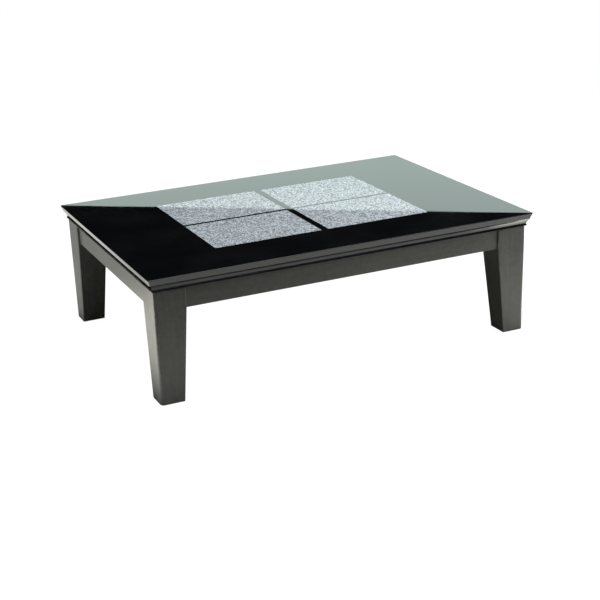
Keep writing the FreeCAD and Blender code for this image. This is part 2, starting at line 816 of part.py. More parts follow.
def make_reflector():
    """A shallow bright pan that throws the heat down, with a hole for the fan's shaft."""
    body = new_body("reflector")
    rim_side = f"({CASE_INSIDE} - 2 * reflector_clearance)"
    sheet = "reflector_sheet"
    rim_level = f"({REFLECTOR_TOP} - reflector_height)"
    outside = [(rim_level, rim_side), (REFLECTOR_TOP, "reflector_roof_side")]
    inside = [
        (rim_level, f"({rim_side} - 2 * {sheet})"),
        (UNDER_REFLECTOR, f"(reflector_roof_side - 2 * {sheet})"),
    ]
    for kind, levels in (("AdditiveLoft", outside), ("SubtractiveLoft", inside)):
        sections = [sketch_on(body, "XY_Plane", level) for level, _ in levels]
        for sketch, (_, side) in zip(sections, levels):
            square(sketch, side)
        loft = body.newObject(f"PartDesign::{kind}", f"reflector_{kind}")
        loft.Profile = sections[0]
        loft.Sections = sections[1:]
        loft.Ruled = True
        DOC.recompute()
    centre = sketch_on(body, "XY_Plane", REFLECTOR_TOP)
    circle(centre, "0", "0", "shaft_hole_radius")
    pocket(body, centre, "2 * reflector_sheet")
    holes = stud_pieces("reflector_stud_hole", "stud_radius + stud_clearance")
    node(cut("drilled_reflector", body, holes), "heater_reflector")


def tube_body(name, radii):
    """A bar of one or two radii, bent once round the fan."""
    body = new_body(name)
    spine = sketch_on(body, "XY_Plane", TUBE_LEVEL)
    bend = "tube_bend_radius"
    turn = "(tube_end - tube_straight)"
    ends = [FreeCAD.Vector(value("tube_end"), side * value(bend), 0) for side in (-1, 1)]
    turns = [FreeCAD.Vector(value(turn), side * value(bend), 0) for side in (-1, 1)]
    first = spine.addGeometry(Part.LineSegment(ends[0], turns[0]))
    arc = spine.addGeometry(arc_between(turns[0], turns[1], value(bend), False))
    last = spine.addGeometry(Part.LineSegment(turns[1], ends[1]))
    spine.addConstraint(Sketcher.Constraint("Coincident", first, 2, arc, 2))
    spine.addConstraint(Sketcher.Constraint("Coincident", arc, 1, last, 1))
    fix_point(spine, first, 1, ("tube_end", f"-{bend}"))
    fix_point(spine, arc, 3, (turn, "0"))
    fix_point(spine, arc, 2, (turn, f"-{bend}"))
    fix_point(spine, last, 2, ("tube_end", bend))
    spine.addConstraint(Sketcher.Constraint("Vertical", arc, 1, arc, 3))
    section = sketch_on(body, "YZ_Plane", "tube_end")
    for radius in radii:
        circle(section, f"-{bend}", TUBE_LEVEL, radius)
    pipe = body.newObject("PartDesign::AdditivePipe", f"{name}_pipe")
    pipe.Profile = section
    pipe.Spine = (spine, ["Edge1", "Edge2", "Edge3"])
    DOC.recompute()
    return body


def stud_pieces(name, radius):
    """A rod through the reflector over each end of the tube."""
    start = ("tube_end", "-tube_bend_radius", UNDER_REFLECTOR)
    return both_ends(rod(name, radius, "reflector_sheet + stud_rise", start, Z_AXIS), Y_AXIS)


def make_tube():
    """The heating element in its quartz tube, with a ceramic holder and a stud at each end."""
    node(tube_body("quartz", ["tube_radius", "tube_bore_radius"]), "heater_tube")
    node(tube_body("element", ["element_radius"]), "heating_element")
    half = "holder_width / 2"
    overlap = "(holder_length / 2)"
    bottom = f"{TUBE_LEVEL} - tube_radius - holder_skirt"
    low = (f"tube_end - {overlap}", f"-tube_bend_radius - {half}", bottom)
    high = (f"tube_end + {overlap}", f"-tube_bend_radius + {half}", UNDER_REFLECTOR)
    block = box("holder_block", low, high)
    start = (f"tube_end - {overlap}", "-tube_bend_radius", TUBE_LEVEL)
    seat = rod("holder_seat", "tube_radius + tube_clearance", f"{overlap} + tube_clearance", start, X_AXIS)
    node(group("holders", both_ends(cut("holder", block, [seat]), Y_AXIS)), "tube_holders")
    node(group("studs", stud_pieces("stud", "stud_radius")), "tube_studs")


def make_fan():
    """A small motor on the roof of the case, and the impeller that it turns inside the tube's bend."""
    bore_level = f"({FRAME_TOP} - motor_height)"
    can = rod("motor_can", "motor_radius", "motor_height", ("0", "0", bore_level), Z_AXIS)
    bearing = rod(
        "motor_bearing", "shaft_radius + running_clearance", "shaft_in_motor + running_clearance",
        ("0", "0", bore_level), Z_AXIS,
    )
    node(cut("motor", can, [bearing]), "fan_motor")
    shaft_end = f"({IMPELLER_TOP} - impeller_height)"
    length = f"{bore_level} + shaft_in_motor - {shaft_end}"
    node(rod("motor_shaft", "shaft_radius", length, ("0", "0", shaft_end), Z_AXIS), "fan_shaft")
    body = new_body("impeller")
    hub = sketch_on(body, "XY_Plane", shaft_end)
    circle(hub, "0", "0", "hub_radius")
    pad(body, hub, "impeller_height")
    blade = sketch_on(body, "YZ_Plane", "hub_radius / 2")
    run, rise = "(blade_chord / 2)", "(blade_thickness / 2)"
    low, high = shaft_end, IMPELLER_TOP
    outline(
        blade,
        [
            (f"-{run} - {rise}", low),
            (f"-{run} + {rise}", low),
            (f"{run} + {rise}", high),
            (f"{run} - {rise}", high),
        ],
    )
    vane = pad(body, blade, "impeller_radius - hub_radius / 2")
    ring = body.newObject("PartDesign::PolarPattern", "impeller_blades")
    ring.Originals = [vane]
    ring.Axis = (hub, ["N_Axis"])
    ring.Angle = 360
    bind(ring, Occurrences="blade_count")
    body.Tip = ring
    DOC.recompute()
    bore = sketch_on(body, "XY_Plane", shaft_end)
    circle(bore, "0", "0", "shaft_radius")
    pocket(body, bore, "impeller_height", backward=True)
    node(body, "fan_impeller")


def guard_pieces(kind_of_piece):
    """The four screws, or their holes, that hold the guard to the front and back of the case."""
    start = ("-guard_screw_reach", f"-{GUARD_HALF}", f"{CASE_BOTTOM} + guard_screw_rise")
    piece = kind_of_piece(f"guard_{kind_of_piece.__name__}", "guard_screw", start, Y_AXIS)
    side = group(f"{piece.Name}_pair", both_ends(piece, X_AXIS))
    return both_ends(side, Y_AXIS)


def make_guard():
    """A square frame pushed over the foot of the case, and the net that lies in it."""
    body = new_body("guard")
    plan = sketch_on(body, "XY_Plane", GUARD_BOTTOM)
    square(plan, f"(2 * {GUARD_HALF})")
    pad(body, plan, "guard_drop + guard_skirt")
    case_seat = sketch_on(body, "XY_Plane", f"{CASE_BOTTOM} + guard_skirt")
    square(case_seat, f"({CASE_SIDE} + 2 * guard_fit)")
    pocket(body, case_seat, "guard_skirt")
    well = sketch_on(body, "XY_Plane", CASE_BOTTOM)
    square(well, WELL_SIDE)
    pocket(body, well, "guard_drop - guard_floor")
    opening = sketch_on(body, "XY_Plane", NET_LEVEL)
    square(opening, f"({CASE_SIDE} - 2 * guard_rim)")
    pocket(body, opening, "2 * guard_floor")
    node(cut("drilled_guard", body, guard_pieces(screw_hole)), "guard_frame")
    node(make_net(), "guard_net")
    node(group("guard_fasteners", guard_pieces(screw)), "guard_screws")


def make_net():
    """The net: one plate with square holes in rows."""
    side = value(f"{WELL_SIDE} - 2 * guard_fit")
    holes = round(value("net_holes"))
    bar = value("net_bar")
    rim = value("net_seat") + value("net_rim")
    pitch = (side - 2 * rim + bar) / holes
    start = -side / 2 + rim
    places = [start + number * pitch for number in range(holes)]
    gap = pitch - bar
    rims = [Part.makePlane(side, side, FreeCAD.Vector(-side / 2, -side / 2, 0)).OuterWire]
    rims += [Part.makePlane(gap, gap, FreeCAD.Vector(x, y, 0)).OuterWire for x in places for y in places]
    face = Part.Face(rims, "Part::FaceMakerBullseye")
    net = DOC.addObject("Part::Feature", "net")
    net.Shape = face.extrude(Z_AXIS * value("net_thickness"))
    net.Placement = FreeCAD.Placement(Z_AXIS * value(NET_LEVEL), FreeCAD.Rotation())
    return net


def make_inlet():
    """The socket for the cord in the back wall of the case, with its three pins."""
    face = f"({CASE_HALF} + inlet_face)"
    low = ("-inlet_width / 2", f"{face} - inlet_depth", f"{INLET_LEVEL} - inlet_height / 2")
    high = ("inlet_width / 2", face, f"{INLET_LEVEL} + inlet_height / 2")
    shell = box("inlet_shell", low, high)
    room_low = (f"{low[0]} + inlet_wall", f"{low[1]} + inlet_floor", f"{low[2]} + inlet_wall")
    room_high = (f"{high[0]} - inlet_wall", f"{face} + cut_overrun", f"{high[2]} - inlet_wall")
    room = box("inlet_room", room_low, room_high)
    foot = f"({face} - inlet_depth + inlet_floor / 2)"
    pins, seats = [], []
    for number in (-1, 0, 1):
        start = (f"{number} * pin_spacing", foot, INLET_LEVEL)
        pins.append(rod("inlet_pin", "pin_radius", "pin_length", start, Y_AXIS))
        seats.append(rod("pin_seat", "pin_radius", "inlet_floor", start, Y_AXIS))
    node(cut("inlet", shell, [room] + seats), "power_inlet")
    node(group("pins", pins), "inlet_pins")


def make_controls():
    """What switches and protects the heater, seated on the back of the reflector."""
    half_length, half_width = "terminal_length / 2", "terminal_width / 2"
    low = (f"-{half_length}", f"terminal_reach - {half_width}", REFLECTOR_TOP)
    high = (half_length, f"terminal_reach + {half_width}", f"{REFLECTOR_TOP} + terminal_height")
    block = box("terminal_body", low, high)
    wells = [
        rod(
            "terminal_well", "terminal_screw_radius", "terminal_screw_depth",
            (f"{number} * terminal_screw_spacing", "terminal_reach", high[2]), -Z_AXIS,
        )
        for number in (-1, 0, 1)
    ]
    node(cut("terminal", block, wells), "terminal_block")
    start = ("-thermostat_reach", "0", REFLECTOR_TOP)
    node(rod("bimetal_switch", "thermostat_radius", "thermostat_height", start, Z_AXIS), "thermostat")
    low = ("fuse_reach - fuse_width / 2", "-fuse_length / 2", REFLECTOR_TOP)
    high = ("fuse_reach + fuse_width / 2", "fuse_length / 2", f"{REFLECTOR_TOP} + fuse_height")
    node(box("fuse_body", low, high), "thermal_fuse")


def lead(name, corners, level):
    """A wire at one level, in straight runs joined by tangent bends."""
    bend = value("wire_bend")
    points = [FreeCAD.Vector(value(x), value(y), value(level)) for x, y in corners]
    runs, start = [], points[0]
    for before, corner, after in zip(points, points[1:], points[2:]):
        way_in, way_out = (corner - before).normalize(), (after - corner).normalize()
        turn = way_in.getAngle(way_out)
        first = corner - way_in * bend * math.tan(turn / 2)
        last = corner + way_out * bend * math.tan(turn / 2)
        middle = corner + (way_out - way_in).normalize() * bend * (1 / math.cos(turn / 2) - 1)
        runs += [Part.LineSegment(start, first).toShape(), Part.Arc(first, middle, last).toShape()]
        start = last
    runs.append(Part.LineSegment(start, points[-1]).toShape())
    section = Part.Wire(Part.Circle(points[0], points[1] - points[0], value("wire_radius")).toShape())
    piece = DOC.addObject("Part::Feature", name)
    piece.Shape = Part.Wire(runs).makePipeShell([section], True)
    return piece


def make_leads():
    """The wires inside the case, from the socket through both switches to the tube and the fan."""
    front = "(terminal_reach - terminal_width / 2)"
    back = "(terminal_reach + terminal_width / 2)"
    screw_line, turn_line = "terminal_screw_spacing", f"({front} - wire_turn)"
    socket = f"({CASE_HALF} + inlet_face - inlet_depth)"
    stud = "(tube_end - stud_radius)"
    fuse_turn = "(fuse_length / 2 + wire_turn)"
    routes = {
        "live_lead": [(f"-{screw_line}", back), (f"-{screw_line}", socket)],
        "neutral_lead": [(screw_line, back), (screw_line, socket)],
        "thermostat_lead": [
            (f"-{screw_line}", front),
            (f"-{screw_line}", turn_line),
            ("-thermostat_reach", turn_line),
            ("-thermostat_reach", "thermostat_radius"),
        ],
        "front_tube_lead": [
            ("-thermostat_reach", "-thermostat_radius"),
            ("-thermostat_reach", "-tube_bend_radius"),
            (stud, "-tube_bend_radius"),
        ],
        "fuse_lead": [
            (screw_line, front),
            (screw_line, turn_line),
            ("fuse_reach", turn_line),
            ("fuse_reach", "fuse_length / 2"),
        ],
        "back_tube_lead": [
            ("fuse_reach", "-fuse_length / 2"),
            ("fuse_reach", f"-{fuse_turn}"),
            ("tube_end", f"-{fuse_turn}"),
            ("tube_end", "tube_bend_radius - stud_radius"),
        ],
    }
    level = f"({REFLECTOR_TOP} + wire_rise)"
    leads = [lead(name, corners, level) for name, corners in routes.items()]
    motor_level = f"({FRAME_TOP} - motor_height + 2 * wire_radius)"
    leads.append(lead("motor_lead", [("0", front), ("0", "motor_radius")], motor_level))
    node(group("leads", leads), "lead_wires")


def make_heater():
    make_case()
    make_reflector()
    make_tube()
    make_fan()
    make_guard()
    make_inlet()
    make_controls()
    make_leads()
    front = group("case_screws_front", both_ends(flange_screw_piece(screw), X_AXIS))
    node(group("case_screws", both_ends(front, Y_AXIS)), "heater_screws")


def make_table():
    make_board()
    make_inlays()
    make_strips()
    make_backing()
    make_legs()
    front_holes, left_holes = make_brackets()
    make_long_rails(front_holes)
    make_end_rails(left_holes)
    make_leg_fasteners()
    make_cross_rails()
    make_pads_and_inserts()
    make_heater()


def check_document():
    """Stops if any object failed, or if any sub-part has no sound shape."""
    for piece in DOC.Objects:
        if "Invalid" in piece.State or "Error" in piece.State:
            raise RuntimeError(f"{piece.Label} failed: {piece.State}")
    for piece in NODES:
        if piece.Shape.isNull() or not piece.Shape.isValid() or not piece.Shape.Solids:
            raise RuntimeError(f"{piece.Label} has no sound shape")


def export_nodes():
    os.makedirs("parts", exist_ok=True)
    for piece in NODES:
        piece.Shape.exportStep(os.path.join("parts", f"{piece.Label}.step"))
        print(f"{piece.Label}: {len(piece.Shape.Solids)} solids, {piece.Shape.Volume / 1000:.1f} cm3")


fill_sheet()
make_table()
DOC.recompute()
check_document()
export_nodes()
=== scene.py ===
# %% [markdown]
# # A low heated table
# The table has a black top polished to a mirror, four speckled silver panels let into it, a
# moulded edge and a satin black frame with tapered legs. An electric heater hangs under the
# middle. The solid model already has every part in its real place, in metres, with the origin on
# the floor under the middle of the table. X runs along the table, Y from its front to its back
# and Z up. We load that model first and keep the box that it fills, because the dressed table
# must fill the same one.

# %% Load the solid model
import math

import bmesh
import bpy
from mathutils import Matrix, Quaternion, Vector


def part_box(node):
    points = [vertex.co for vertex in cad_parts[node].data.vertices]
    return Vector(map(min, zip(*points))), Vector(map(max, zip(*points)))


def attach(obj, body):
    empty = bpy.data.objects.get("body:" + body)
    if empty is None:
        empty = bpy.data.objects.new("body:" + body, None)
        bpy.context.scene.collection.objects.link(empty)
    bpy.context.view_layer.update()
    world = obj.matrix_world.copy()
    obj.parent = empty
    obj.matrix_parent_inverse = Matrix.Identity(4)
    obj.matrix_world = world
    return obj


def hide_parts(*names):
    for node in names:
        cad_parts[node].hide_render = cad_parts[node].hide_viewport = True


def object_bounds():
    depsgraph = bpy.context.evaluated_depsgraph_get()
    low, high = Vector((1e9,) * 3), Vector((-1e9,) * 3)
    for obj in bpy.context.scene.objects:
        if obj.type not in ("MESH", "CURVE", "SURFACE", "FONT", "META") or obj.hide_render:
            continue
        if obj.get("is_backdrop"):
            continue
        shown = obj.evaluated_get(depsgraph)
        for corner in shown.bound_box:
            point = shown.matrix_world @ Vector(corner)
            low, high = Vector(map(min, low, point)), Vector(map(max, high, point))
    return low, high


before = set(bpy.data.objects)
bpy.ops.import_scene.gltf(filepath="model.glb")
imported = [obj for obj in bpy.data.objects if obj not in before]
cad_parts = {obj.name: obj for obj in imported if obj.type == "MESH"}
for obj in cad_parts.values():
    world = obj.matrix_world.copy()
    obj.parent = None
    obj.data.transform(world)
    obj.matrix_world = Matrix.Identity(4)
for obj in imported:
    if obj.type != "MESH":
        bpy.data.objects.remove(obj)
cad_box = [list(corner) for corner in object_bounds()]
print("solid model:", len(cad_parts), "parts, box", cad_box)

# %% [markdown]
# ## The camera
# The picture was taken from the front left, a little above the table, with a long lens. The place
# and the lens come from matching the corners of the top and the feet of the legs. The camera is
# also turned by two degrees about its own line of sight, as a hand-held camera often is.

# %% Set the camera
EYE, TARGET = Vector((-1.5979, -3.6146, 1.5016)), Vector((-0.1005, -0.2787, 0.1800))
LENS, SENSOR, ROLL = 80.63, 36, math.radians(-2.19)
camera = bpy.data.objects.new("camera", bpy.data.cameras.new("camera"))
bpy.context.scene.collection.objects.link(camera)
bpy.context.scene.camera = camera
camera.data.sensor_width, camera.data.lens = SENSOR, LENS
camera.location = EYE
camera.rotation_mode = "QUATERNION"
aim = (TARGET - EYE).to_track_quat("-Z", "Y")
camera.rotation_quaternion = aim @ Quaternion((0, 0, 1), ROLL)
print("camera is", round((TARGET - EYE).length, 2), "m from the point that it looks at")

# %% [markdown]
# ## Small helpers for meshes
# Every new part starts as a bmesh. Each one carries a number on its corners that marks rounds: it
# is one along the edges that we round off and nought on the flat faces. The finishes read it to
# lighten the rounded edges, partly as real wear where hands and cloths thin the lacquer and partly
# as a painted highlight. A rounded edge looks right when the light runs smoothly over it and the
# flat face beside it stays flat, so each part is shaded smooth up to a given angle and weights its
# normals by the size of the faces.

# %% Mesh helpers
SHARP = math.radians(38)
HAIR = 1e-5


def new_shape():
    """An empty bmesh that can carry the number that marks rounded edges."""
    shape = bmesh.new()
    shape.verts.layers.float.new("worn_highlit_edge")
    return shape


def block(low, high):
    """A plain block between two corners."""
    shape = new_shape()
    bmesh.ops.create_cube(shape, size=1)
    low, high = Vector(low), Vector(high)
    bmesh.ops.scale(shape, vec=high - low, verts=shape.verts)
    bmesh.ops.translate(shape, vec=(low + high) / 2, verts=shape.verts)
    return shape


def soften(shape, edges, radius, segments):
    """Rounds edges off and marks the round for edge wear and a painted highlight."""
    made = bmesh.ops.bevel(
        shape, geom=edges, affect="EDGES", offset_type="OFFSET", offset=radius,
        segments=segments, profile=0.5, material=-1, clamp_overlap=True,
    )
    worn_highlit_edge, faces = shape.verts.layers.float["worn_highlit_edge"], set(made["faces"])
    for vertex in {v for face in faces for v in face.verts}:
        if all(face in faces for face in vertex.link_faces):
            vertex[worn_highlit_edge] = 1.0


def only(made, kind):
    """The corners or the edges among the things that an operator made."""
    return [thing for thing in made if isinstance(thing, kind)]


def draw_out(shape, faces, step, closed=True):
    """Draws faces out and gives back their new corners. A closed shape loses the old faces."""
    made = bmesh.ops.extrude_face_region(shape, geom=faces)
    if closed:
        bmesh.ops.delete(shape, geom=faces, context="FACES_ONLY")
    moved = only(made["geom"], bmesh.types.BMVert)
    bmesh.ops.translate(shape, vec=step, verts=moved)
    return moved


def run(edge, axis):
    """How far an edge runs along an axis."""
    return abs(edge.verts[0].co[axis] - edge.verts[1].co[axis])


def edges_where(shape, test):
    """The edges whose two ends both pass a test of their place."""
    return [e for e in shape.edges if all(test(v.co) for v in e.verts)]


def levels(node):
    """The lowest and highest corner of a part of the solid model."""
    low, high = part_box(node)
    return Vector(low), Vector(high)


def as_object(name, shape, material):
    """Turns a bmesh into an object of the scene."""
    mesh = bpy.data.meshes.new(name)
    shape.to_mesh(mesh)
    shape.free()
    mesh.materials.append(material)
    made = bpy.data.objects.new(name, mesh)
    bpy.context.scene.collection.objects.link(made)
    return made


def finish_part(name, shape, finish, node, body="frame", slot=None):
    """Turns a bmesh into a named part that rides on a body and stands for a node."""
    bmesh.ops.recalc_face_normals(shape, faces=shape.faces)
    for face in shape.faces:
        face.smooth = True
    for edge in shape.edges:
        edge.smooth = edge.calc_face_angle(math.pi) < SHARP
    part = as_object(name, shape, finishes[finish])
    weighting = part.modifiers.new("weighted normals", "WEIGHTED_NORMAL")
    weighting.keep_sharp = True
    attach(part, body)
    slot or finish
    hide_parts(node)
    print(name, "has", len(part.data.polygons), "faces")


# %% [markdown]
# ## Small helpers for finishes
# A finish is a tree of nodes. The helper called add makes a node, sets its options and feeds its
# inputs, with numbers or with the outputs of other nodes, so a finish reads from top to bottom
# like a recipe. An effect that several finishes share is a group with named inputs and outputs.

# %% The recipe of a finish
class Recipe:
    """A tree of nodes and short words for the nodes that we use most."""

    def __init__(self, tree):
        self.tree = tree

    def fill(self, node, inputs):
        """Feeds a node's inputs with values or with the outputs of other nodes."""
        for name, given in inputs.items():
            if isinstance(given, bpy.types.NodeSocket):
                self.tree.links.new(given, node.inputs[name])
            else:
                node.inputs[name].default_value = given

    def add(self, kind, inputs=None, **options):
        """Adds a node, sets its options and feeds its inputs."""
        made = self.tree.nodes.new("ShaderNode" + kind)
        for name, choice in options.items():
            setattr(made, name, choice)
        self.fill(made, inputs or {})
        return made

    def math(self, kind, first, second):
        return self.add("Math", {0: first, 1: second}, operation=kind).outputs[0]

    def plus(self, first, second):
        return self.math("ADD", first, second)

    def less(self, first, second):
        return self.math("SUBTRACT", first, second)

    def times(self, first, second):
        return self.math("MULTIPLY", first, second)

    def larger(self, first, second):
        return self.math("MAXIMUM", first, second)

    def between(self, amount, low, high):
        """Moves a number from the range 0 to 1 into another range."""
        given = {"Value": amount, "To Min": low, "To Max": high}
        return self.add("MapRange", given).outputs["Result"]

    def window(self, amount, low, high):
        """A mask that is 0 at one number, 1 at another and smooth between."""
        given = {"Value": amount, "From Min": low, "From Max": high}
        return self.add("MapRange", given, interpolation_type="SMOOTHSTEP").outputs["Result"]

    def blend(self, amount, first, second):
        """Mixes two colours, each given as numbers or as an output."""
        pair = [c if isinstance(c, bpy.types.NodeSocket) else (*c, 1) for c in (first, second)]
        given = {0: amount, 6: pair[0], 7: pair[1]}
        return self.add("Mix", given, data_type="RGBA").outputs[2]

    def stretched(self, place, stretch):
        """The place on the surface, stretched by a vector."""
        return self.add("VectorMath", {0: place, 1: stretch}, operation="MULTIPLY").outputs[0]

    def noise(self, place, scale, detail=3.0, roughness=0.55):
        """A cloudy number that changes over the surface."""
        given = {"Vector": place, "Scale": scale, "Detail": detail, "Roughness": roughness}
        return self.add("TexNoise", given).outputs["Fac"]

    def mix(self, share, first, second):
        """Mixes two shaders."""
        given = {0: share, 1: first.outputs[0], 2: second.outputs[0]}
        return self.add("MixShader", given)

    def bump(self, height, depth):
        """A normal from a height, with the depth of the relief in metres."""
        given = {"Height": height, "Distance": depth, "Strength": 1.0}
        return self.add("Bump", given).outputs["Normal"]


# %% Groups and materials
finishes = {}


class Effect(Recipe):
    """A group that finishes share. It takes the place on the part and some numbers."""

    def __init__(self, name, inputs, outputs):
        super().__init__(bpy.data.node_groups.new(name, "ShaderNodeTree"))
        sockets = self.tree.interface
        for label, value in {"Vector": (0.0, 0.0, 0.0), **inputs}.items():
            kind = "NodeSocketVector" if isinstance(value, tuple) else "NodeSocketFloat"
            socket = sockets.new_socket(label, in_out="INPUT", socket_type=kind)
            socket.default_value = value
        for label in outputs:
            sockets.new_socket(label, in_out="OUTPUT", socket_type="NodeSocketFloat")
        self.taken = self.tree.nodes.new("NodeGroupInput").outputs
        self.place = self.taken["Vector"]
        self.end = self.tree.nodes.new("NodeGroupOutput")

    def give(self, **outputs):
        """Feeds the outputs of the group."""
        self.fill(self.end, outputs)


class Finish(Recipe):
    """A material with its shader and the place on the part."""

    def __init__(self, name):
        finishes[name] = self.material = bpy.data.materials.new(name)
        self.material.use_nodes = True
        super().__init__(self.material.node_tree)
        self.shader = self.tree.nodes["Principled BSDF"]
        self.place = self.add("TexCoord").outputs["Object"]

    def use(self, effect, **numbers):
        """Places a shared effect in the material and gives back its outputs."""
        given = {"Vector": self.place, **numbers}
        return self.add("Group", given, node_tree=effect.tree).outputs

    def feed(self, **given):
        """Feeds the shader. An underscore stands for a space in the names of its inputs."""
        self.fill(self.shader, {name.replace("_", " "): value for name, value in given.items()})

    def show(self, shader):
        """Shows another shader in place of the material's own."""
        self.fill(self.tree.nodes["Material Output"], {"Surface": shader.outputs[0]})


# %% [markdown]
# ## Effects that several finishes share
# Long grain is for wood: a noise drawn out along the fibres gives the figure, and a much finer
# one gives the open pores. Handling is the faint cloud of wipes and the fine dust that every
# glossy or painted surface has. Edge wear and highlight lightens rounded edges in patches rather
# than evenly: partly real wear that thins a finish, partly a painted highlight. Rolled sheet gives
# the lines and the crystals of sheet metal, and mottle the fine texture of sprayed, moulded and
# pressed things.

# %% Group for the grain of wood
long_grain = Effect("long grain", {"Stretch": (1.0, 1.0, 1.0)}, ("Figure", "Pores", "Height"))
along = long_grain.stretched(long_grain.place, long_grain.taken["Stretch"])
broad = long_grain.noise(long_grain.stretched(along, (0.28, 0.28, 0.28)), 1.0, 2.0, 0.5)
fine = long_grain.noise(along, 1.0, 5.0, 0.68)
figure = long_grain.plus(long_grain.times(broad, 0.5), long_grain.times(fine, 0.5))
pores = long_grain.window(long_grain.noise(along, 3.1, 2.0, 0.5), 0.50, 0.64)
raised = long_grain.less(figure, pores)
long_grain.give(Figure=long_grain.window(figure, 0.30, 0.70), Pores=pores, Height=raised)

# %% Group for wipes and dust
handling = Effect("handling", {"Scale": 6.0}, ("Wipes", "Dust"))
clouds = handling.noise(handling.place, handling.taken["Scale"], 4.0, 0.6)
finer = handling.times(handling.taken["Scale"], 130.0)
specks = handling.window(handling.noise(handling.place, finer, 1.0, 0.5), 0.71, 0.78)
handling.give(Wipes=handling.window(clouds, 0.35, 0.75), Dust=handling.times(specks, clouds))

# %% Group for edge wear and painted highlight
edge_wear_and_highlight = Effect("edge wear and highlight", {"Amount": 0.5}, ("Rub",))
marked = edge_wear_and_highlight.add("Attribute", attribute_name="worn_highlit_edge").outputs["Fac"]
patches = edge_wear_and_highlight.window(edge_wear_and_highlight.noise(edge_wear_and_highlight.place, 45.0, 5.0, 0.65), 0.38, 0.70)
edge_wear_and_highlight.give(Rub=edge_wear_and_highlight.times(edge_wear_and_highlight.times(marked, patches), edge_wear_and_highlight.taken["Amount"]))

# %% Group for rolled sheet metal
rolled_sheet = Effect("rolled sheet", {"Lines": (1.0, 1.0, 1.0), "Cells": 60.0}, ("Lines", "Cells"))
drawn = rolled_sheet.stretched(rolled_sheet.place, rolled_sheet.taken["Lines"])
given = {"Vector": rolled_sheet.place, "Scale": rolled_sheet.taken["Cells"]}
cells = rolled_sheet.add("TexVoronoi", given).outputs["Color"]
shade = rolled_sheet.add("SeparateColor", {"Color": cells}).outputs["Red"]
rolled_sheet.give(Lines=rolled_sheet.noise(drawn, 1.0, 4.0, 0.7), Cells=shade)

# %% Group for a sprayed, moulded or pressed texture
mottle = Effect("mottle", {"Scale": 500.0}, ("Tone", "Height"))
coarse = mottle.times(mottle.taken["Scale"], 0.08)
height = mottle.noise(mottle.place, mottle.taken["Scale"], 3.0, 0.6)
mottle.give(Tone=mottle.noise(mottle.place, coarse, 4.0, 0.6), Height=height)
print("shared effects:", [group.name for group in bpy.data.node_groups])

# %% [markdown]
# ## The black lacquers
# The top is black lacquer, sprayed thick, sanded flat and polished. Real polish is never perfect:
# it has a very faint waviness, a cloud of wipes that dulls it slightly and a little dust. The
# moulding has the same lacquer, but nobody can polish a hollow as flat, so it is a little softer
# in its gloss.

# %% Black lacquers
def black_lacquer(name, best, dulled, waves):
    """Deep black lacquer: its roughness at best and under wipes, and the height of its waves."""
    lacquer = Finish(name)
    marks = lacquer.use(handling, Scale=5.0)
    worn_highlit_edge = lacquer.use(edge_wear_and_highlight, Amount=0.4)["Rub"]
    deep = lacquer.blend(marks["Wipes"], (0.0016, 0.0019, 0.0024), (0.0038, 0.0042, 0.0048))
    dusted = lacquer.blend(lacquer.times(marks["Dust"], 0.12), deep, (0.20, 0.20, 0.20))
    # Rounded edges turn a lighter grey: partly worn lacquer, partly a painted highlight.
    worn_and_highlit = lacquer.blend(worn_highlit_edge, dusted, (0.020, 0.021, 0.022))
    gloss = lacquer.plus(lacquer.between(marks["Wipes"], best, dulled), lacquer.times(worn_highlit_edge, 0.12))
    lacquer.feed(Base_Color=worn_and_highlit, Roughness=gloss, IOR=1.52)
    lacquer.feed(Normal=lacquer.bump(lacquer.noise(lacquer.place, 35.0, 2.0), waves))


black_lacquer("mirror_lacquer", 0.012, 0.028, 4e-6)
black_lacquer("moulding_lacquer", 0.06, 0.11, 2e-5)

# %% [markdown]
# ## The speckled silver panels
# Each panel looks like crushed silver leaf under the clear coat: grains of a few millimetres,
# from dark to bright, that tilt a little in every direction. Cells with a random shade give the
# grains and two noises break up their outlines. The bright grains are painted glints and the dark
# ones painted shade, put into the colour for grains tilted towards or away from the light. The
# clear coat on top mirrors the room as the black does.

# %% Silver panels' finish
silver = Finish("silver_grain")
wander = silver.add("TexNoise", {"Vector": silver.place, "Scale": 300.0, "Detail": 2.0})
given = {0: wander.outputs["Color"], "Scale": 0.0024}
pulled = silver.add("VectorMath", given, operation="SCALE").outputs[0]
moved = silver.add("VectorMath", {0: silver.place, 1: pulled}, operation="ADD").outputs[0]
cells = silver.add("TexVoronoi", {"Vector": moved, "Scale": 330.0}).outputs["Color"]
grains = silver.times(silver.add("SeparateColor", {"Color": cells}).outputs["Red"], 0.62)
streaks = silver.times(silver.noise(silver.place, 210.0, 3.0, 0.7), 0.70)
clumps = silver.times(silver.noise(silver.place, 120.0, 2.0, 0.5), 0.60)
mixed = silver.plus(silver.plus(grains, streaks), clumps)
# Bright grains are painted glints, dark grains painted shade.
painted_glints = silver.window(mixed, 0.755, 1.235)
leaf = silver.blend(painted_glints, (0.125, 0.146, 0.155), (0.69, 0.745, 0.82))
coat = silver.bump(silver.noise(silver.place, 35.0, 2.0), 4e-6)
silver.feed(Base_Color=leaf, Metallic=0.2, Roughness=silver.between(painted_glints, 0.60, 0.38))
silver.feed(Normal=silver.bump(mixed, 0.00016), Coat_Normal=coat)
silver.feed(Coat_Weight=0.68, Coat_Roughness=0.02, Coat_IOR=1.5)

# %% [markdown]
# ## Satin black wood
# The frame is stained almost black and lacquered to a satin, so the fine grain still shows as a
# soft streak in the sheen. The grain runs along each piece of wood, so the finish is made three
# times, with the same groups and a different stretch.

